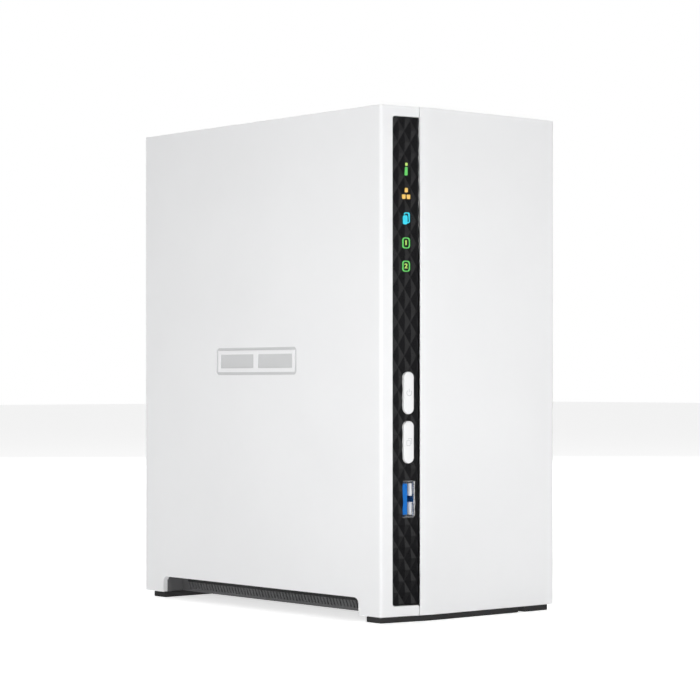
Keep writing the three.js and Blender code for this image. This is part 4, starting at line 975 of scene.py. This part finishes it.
# node, piece, slot, finish, edge
plainPieces = [
    ("lan_jack", "lanJack", "plated_steel", "shellSteel", 0.15),
    ("reset_switch", "resetSwitch", "plated_steel", "shellSteel", 0.1),
    ("front_board", "frontBoard", "board_green", "boardGreen", 0.05),
    ("power_switch", "powerSwitch", "plated_steel", "shellSteel", 0.15),
    ("copy_switch", "copySwitch", "plated_steel", "shellSteel", 0.15),
    ("drive_cage", "driveCage", "cage_steel", "cageSteel", 0.12),
    ("drive_{}_casting", "driveCasting", "cast_aluminium", "castAluminium", 0.45),
    ("drive_{}_lid", "driveLid", "plated_steel", "lidSteel", 0.2),
    ("drive_{}_board", "driveBoard", "board_green", "boardGreen", 0.1),
    ("sata_backplane", "driveBackplane", "board_green", "boardGreen", 0.08),
    ("sata_socket_{}", "driveSocket", "chip_black", "socketBlack", 0.15),
    ("mainboard", "mainBoard", "board_green", "boardGreen", 0.08),
    ("processor", "processorChip", "chip_black", "chipBlack", 0.15),
    ("memory_chip_{}", "memoryChip", "chip_black", "chipBlack", 0.12),
    ("flash_chip", "flashChip", "chip_black", "chipBlack", 0.12),
    ("lan_transformer", "lanTransformer", "chip_black", "chipBlack", 0.3),
    ("board_link", "boardLink", "chip_black", "socketBlack", 0.2),
]
for node, name, slot, finish, edge in plainPieces:
    for number in (("1", "2") if "{}" in node else ("",)):
        softCopy(node.format(number), name + number, slot, finish, edge)
for kind in buttonSize["heights"]:
    softCopy(kind + "_plunger", kind + "Plunger", "chip_black", "socketBlack", 0.25, body=kind + "_button")
softCopy("reset_button", "resetButton", "insert_white", "insertWhite", 0.15, body="reset_button")
print("inner pieces made")

lan = {"wires": 8, "pitch": 1.02, "wire": (0.45, 1.25, 1.6), "floor": (1.5, 9.5, 5.8), "window": (1.6, 2.4, 5.6)}
powerInlet = {"fromSide": 5.6, "deep": 13.9, "well": 9.9, "wellRadius": 3.15, "pinRadius": 1.05}


def lanInsides():
    # eight sprung wires, a dark floor behind them and two lamp windows
    low = cornersOf("lan_contacts")[0]
    thick, bottom, top = lan["wire"]
    wire = bar([low.x, low.x + thick], [low.z + bottom, low.z + top], [-13.3, -3.3])
    wires = inRows(wire, "gold", 1, lan["wires"], 0, lan["pitch"])
    wires.transform(at(0, lan["pitch"] * (lan["wires"] - 1) / 2, 0))
    addPiece("lanContacts", moved(wires, outOfPanel), "gold", "contact_gold", "lan_contacts")
    jackLow, jackHigh = cornersOf("lan_jack")
    middle = (jackLow.z + jackHigh.z) / 2
    near, far, half = lan["floor"]
    floor = bar([jackLow.x + near, jackLow.x + far], [middle - half, middle + half], [-13.25, -13.0])
    addPiece("lanFloor", moved(floor, outOfPanel), "socketBlack", "dark_plastic")
    wide, tall, away = lan["window"]
    windows = [pushedUp(boxLoop(jackHigh.x - 1.5, middle + side * away, wide, tall, 0.3, 3), -0.6, 0.26)
               for side in (-1, 1)]
    addPiece("lanWindows", moved(gathered(windows), outOfPanel), "clear", "clear_plastic")


def powerJack():
    # a round well with its pin
    low, high = cornersOf("power_jack")
    face, radius, pinRadius = high.y - panelBack / mm, powerInlet["wellRadius"], powerInlet["pinRadius"]
    well, middle = face - powerInlet["well"], at(high.x - powerInlet["fromSide"], (low.z + high.z) / 2, 0)
    body = pushedUp(loopOf(low.x, high.x, low.z, high.z, 0.5, 4), face - powerInlet["deep"], face)
    bore = turned([(0, well), (radius, well), (radius, face - 0.5), (3.7, face + 0.05), (3.7, face + 1),
                   (0, face + 1)], 40)
    mesh = carved(body, [moved(bore, middle)])
    addPiece("powerJack", moved(mesh, outOfPanel), "socketBlack", "chip_black", "power_jack", edges=(0.12,))
    pin = turned([(0, face - 1.4), (0.6, face - 1.45), (0.95, face - 1.8), (pinRadius, face - 2.3),
                  (pinRadius, well + 0.1), (0, well + 0.1)], 24)
    addPiece("powerPin", moved(moved(pin, middle), outOfPanel), "plated", "plated_steel", sharp=32)


lanInsides()
powerJack()
print("rear sockets made")


def legs(name, node, count, upright):
    # bent legs along two opposite edges of a chip: above and below it, or at its sides
    low, high = cornersOf(node)
    long, tall = high.y - low.y, high.z - low.z
    span, reach = (long, tall / 2) if upright else (tall, long / 2)
    profile = [(-0.3, 0.62), (0.35, 0.62), (0.55, 0.16), (0.95, 0.16), (0.95, 0.04), (0.45, 0.04), (0.25, 0.5),
               (-0.3, 0.5)]
    rows = []
    for turn in (0, math.pi):
        leg = solidLoft([[(edge * 0.16, reach + out, up) for out, up in profile] for edge in (-1, 1)])
        row = inRows(leg, "plated", count, 1, (span - 1.6) / (count - 1), 0)
        rows.append(moved(row, Matrix.Rotation(turn + (0 if upright else math.pi / 2), 4, "Z")))
    mesh = moved(gathered(rows), at((low.y + high.y) / 2, (low.z + high.z) / 2, 0))
    addPiece(name, moved(mesh, outOfBoard), "plated", "plated_steel")


for name, node, count, upright in (
        ("memoryLegs1", "memory_chip_1", 18, True), ("memoryLegs2", "memory_chip_2", 18, True),
        ("flashLegs", "flash_chip", 16, False), ("transformerLegs", "lan_transformer", 8, False)):
    legs(name, node, count, upright)


def scatterTree(ends):
    # the bodies of small parts, or their metal ends, strewn over the faces given and never nearer than
    # Spacing, some turned by a quarter turn
    tree, given = openTree("strewnEnds" if ends else "strewnBodies", Length="Float", Width="Float",
                           Height="Float", End="Float", Spacing="Float", Seed="Int")
    spread = addNode(tree, "GeometryNodeDistributePointsOnFaces", {
        "Mesh": given["Geometry"], "Distance Min": given["Spacing"], "Density Max": 400000.0, "Seed": given["Seed"]},
        distribute_method="POISSON").outputs["Points"]
    length, width, height, end = (given[label] for label in ("Length", "Width", "Height", "End"))
    size = vector(tree, end, times(tree, width, 1.04), times(tree, height, 1.06)) if ends else \
        vector(tree, length, width, height)
    shape = addNode(tree, "GeometryNodeMeshCube", {"Size": size}).outputs["Mesh"]
    if ends:
        pair = addNode(tree, "GeometryNodeJoinGeometry")
        offset = times(tree, calc(tree, "SUBTRACT", length, times(tree, end, 0.9)), 0.5)
        for side in (-1.0, 1.0):
            cap = addNode(tree, "GeometryNodeTransform", {
                "Geometry": shape, "Translation": vector(tree, times(tree, offset, side))}).outputs["Geometry"]
            tree.links.new(cap, pair.inputs[0])
        shape = pair.outputs[0]
    quarter = addNode(tree, "FunctionNodeRandomValue", data_type="INT")
    quarter.inputs[4].default_value, quarter.inputs[5].default_value = 0, 1
    tree.links.new(given["Seed"], quarter.inputs["Seed"])
    turn = times(tree, quarter.outputs[2], math.pi / 2)
    return closeTree(tree, given, spread, shape, Rotation=vector(tree, z=turn))


smallParts = {
    # from and to along the board, from and to upwards
    "patches": [(-46, -22, 28, 84), (-21, 4, 24, 80), (6, 30, 30, 70), (-46, -34, 95, 160), (10, 40, 136, 162),
                (12, 40, 98, 114), (33, 54, 56, 92), (-21, -2, 155, 164)],
    "resistor": {"Length": 1.6, "Width": 0.8, "Height": 0.5, "End": 0.3, "Spacing": 3.4},
    "capacitor": {"Length": 2.4, "Width": 1.4, "Height": 1.1, "End": 0.45, "Spacing": 7.5},
}


def patchMesh():
    shell = bmesh.new()
    for x0, x1, y0, y1 in smallParts["patches"]:
        corners = ((x0, y0), (x1, y0), (x1, y1), (x0, y1))
        shell.faces.new([shell.verts.new((x * mm, y * mm, 0)) for x, y in corners])
    return meshOf(shell, "patches")


def strewn(name, kind, finish, seed):
    size = smallParts[kind]
    values = {**{label: value * mm for label, value in size.items()}, "Seed": seed}
    bodies = grown(scatterTree(False), finish, values, patchMesh())
    ends = grown(scatterTree(True), "plated", values, patchMesh())
    mesh = gathered([bodies, ends])
    mesh.transform(at(0, 0, size["Height"] * 0.53))
    piece = newPiece(name, moved(mesh, outOfBoard), finish)
    mesh.materials.append(finishes["plated"])
    for i in range(len(bodies.polygons), len(mesh.polygons)):
        mesh.polygons[i].material_index = 1
    settle(piece, "case", "chip_black")


strewn("smallResistors", "resistor", "chipBlack", 4)
strewn("smallCapacitors", "capacitor", "ceramicTan", 9)
print("small parts strewn")


def onBoard(node):
    # the middle of a node that stands on the mainboard, in the board's drawing
    low, high = cornersOf(node)
    return at((low.y + high.y) / 2, (low.z + high.z) / 2, boardFace / mm - high.x)


def heatsink():
    low, high = cornersOf("heatsink")
    size, tall = high.y - low.y, high.x - low.x
    base = pushedUp(boxLoop(0, 0, size, size, 0.8, 3), 0, 2.5)
    fins = inRows(bar([-0.7, 0.7], [-size / 2, size / 2], [2.3, tall]), "sinkAluminium", 9, 1, (size - 1.4) / 8, 0)
    mesh = moved(gathered([base, fins]), onBoard("heatsink"))
    addPiece("heatSink", moved(mesh, outOfBoard), "sinkAluminium", "heatsink", "heatsink", edges=(0.15,))


def standingOnBoard(name, node, finish, slot, steps, profile):
    # a round part turned from radius and height, in the middle of its node
    mesh = moved(turned(profile, steps), onBoard(node))
    addPiece(name, moved(mesh, outOfBoard), finish, slot, node, sharp=32)


heatsink()
standingOnBoard("clockBattery", "clock_battery", "lidSteel", "plated_steel", 56, [
    (0, 4.45), (8.2, 4.45), (8.5, 4.6), (9.4, 4.6), (10, 4.0), (10, 1.6), (10.6, 1.5), (10.6, 0), (0, 0)])
standingOnBoard("powerCapacitor", "power_capacitor", "sinkAluminium", "heatsink", 40, [
    (0, 7.85), (3.3, 7.85), (3.5, 8), (3.8, 7.9), (4, 7.6), (4, 1.7), (3.75, 1.45), (3.75, 1.2), (4, 0.95), (4, 0),
    (0, 0)])
print("board parts made")


stage = {
    "floorWide": 14, "floorShade": 0.9, "floorGlow": 0.62,
    "skyBehind": 0.48, "skyAhead": 0.0, "skyRise": 0.35,
}
lamps = {
    # place, aimed at, size, power, spread
    "frontLeft": ((-0.6, -0.72, 0.07), (-0.02, -0.085, 0.075), 0.26, 0.35, 38),
    "frontRight": ((0.84, -1.04, 0.14), (-0.03, -0.07, 0.1), 0.8, 1.15, 180),
    "overhead": ((0.3, 0.3, 1.5), (0.0, 0.0, 0.0), 1.4, 6.0, 180),
    "behind": ((0.9, 1.2, 0.7), (0.0, 0.0, 0.1), 0.9, 9.0, 180),
}
eye = {"place": (-0.5836, -0.6876, 0.08744), "heading": 40.37, "lens": 115.97, "shift": (0.0117, 0.047)}


def makeFloor():
    shell = bmesh.new()
    bmesh.ops.create_grid(shell, x_segments=2, y_segments=2, size=stage["floorWide"] / 2)
    mesh = meshOf(shell, "floor")
    shade = stage["floorShade"]
    material, tree, shader = newMaterial(
        "floorPaper", Roughness=0.9, Specular_IOR_Level=0.1, Emission_Color=(1, 1, 1, 1),
        Emission_Strength=stage["floorGlow"])
    dress(tree, shader, shades(tree, grain(tree, 400, 2.0), (shade * 0.995,) * 3, (shade,) * 3))
    floor = bpy.data.objects.new("floor", mesh)
    scene.collection.objects.link(floor)
    mesh.materials.append(material)
    floor.visible_glossy = False


def makeSky():
    # white to look at; as a light it is dim ahead of the case and brighter behind and above it
    world = bpy.data.worlds.new("studio")
    world.use_nodes = True
    scene.world = world
    tree = world.node_tree
    tree.nodes.clear()
    place = addNode(tree, "ShaderNodeTexCoord").outputs["Generated"]
    facing = addNode(tree, "ShaderNodeVectorMath", {0: place, 1: (0.1, 1.0, stage["skyRise"])},
                     operation="DOT_PRODUCT").outputs["Value"]
    strength = addNode(tree, "ShaderNodeMapRange", {
        "Value": facing, "From Min": -1.0, "From Max": 1.0,
        "To Min": stage["skyAhead"], "To Max": stage["skyBehind"]}).outputs["Result"]
    lit, seen = (addNode(tree, "ShaderNodeBackground", {"Color": (1, 1, 1, 1), "Strength": value}).outputs[0]
                 for value in (strength, 1.0))
    ray = addNode(tree, "ShaderNodeLightPath").outputs["Is Camera Ray"]
    both = addNode(tree, "ShaderNodeMixShader", {0: ray, 1: lit, 2: seen}).outputs[0]
    addNode(tree, "ShaderNodeOutputWorld", {"Surface": both})


def makeLamps():
    for name, (place, target, size, power, spread) in lamps.items():
        lamp = bpy.data.lights.new(name, "AREA")
        lamp.shape = "SQUARE"
        lamp.size = size
        lamp.energy = power
        lamp.spread = math.radians(spread)
        holder = bpy.data.objects.new(name, lamp)
        scene.collection.objects.link(holder)
        holder.location = place
        holder.rotation_euler = (Vector(target) - Vector(place)).to_track_quat("-Z", "Y").to_euler()


def makeCamera():
    camera = bpy.data.cameras.new("eye")
    camera.sensor_width = 36
    camera.lens = eye["lens"]
    camera.shift_x, camera.shift_y = eye["shift"]
    holder = bpy.data.objects.new("eye", camera)
    scene.collection.objects.link(holder)
    holder.location = eye["place"]
    holder.rotation_euler = (math.radians(90), 0, math.radians(-eye["heading"]))
    scene.camera = holder


makeFloor()
makeSky()
makeLamps()
makeCamera()
print("stage made")
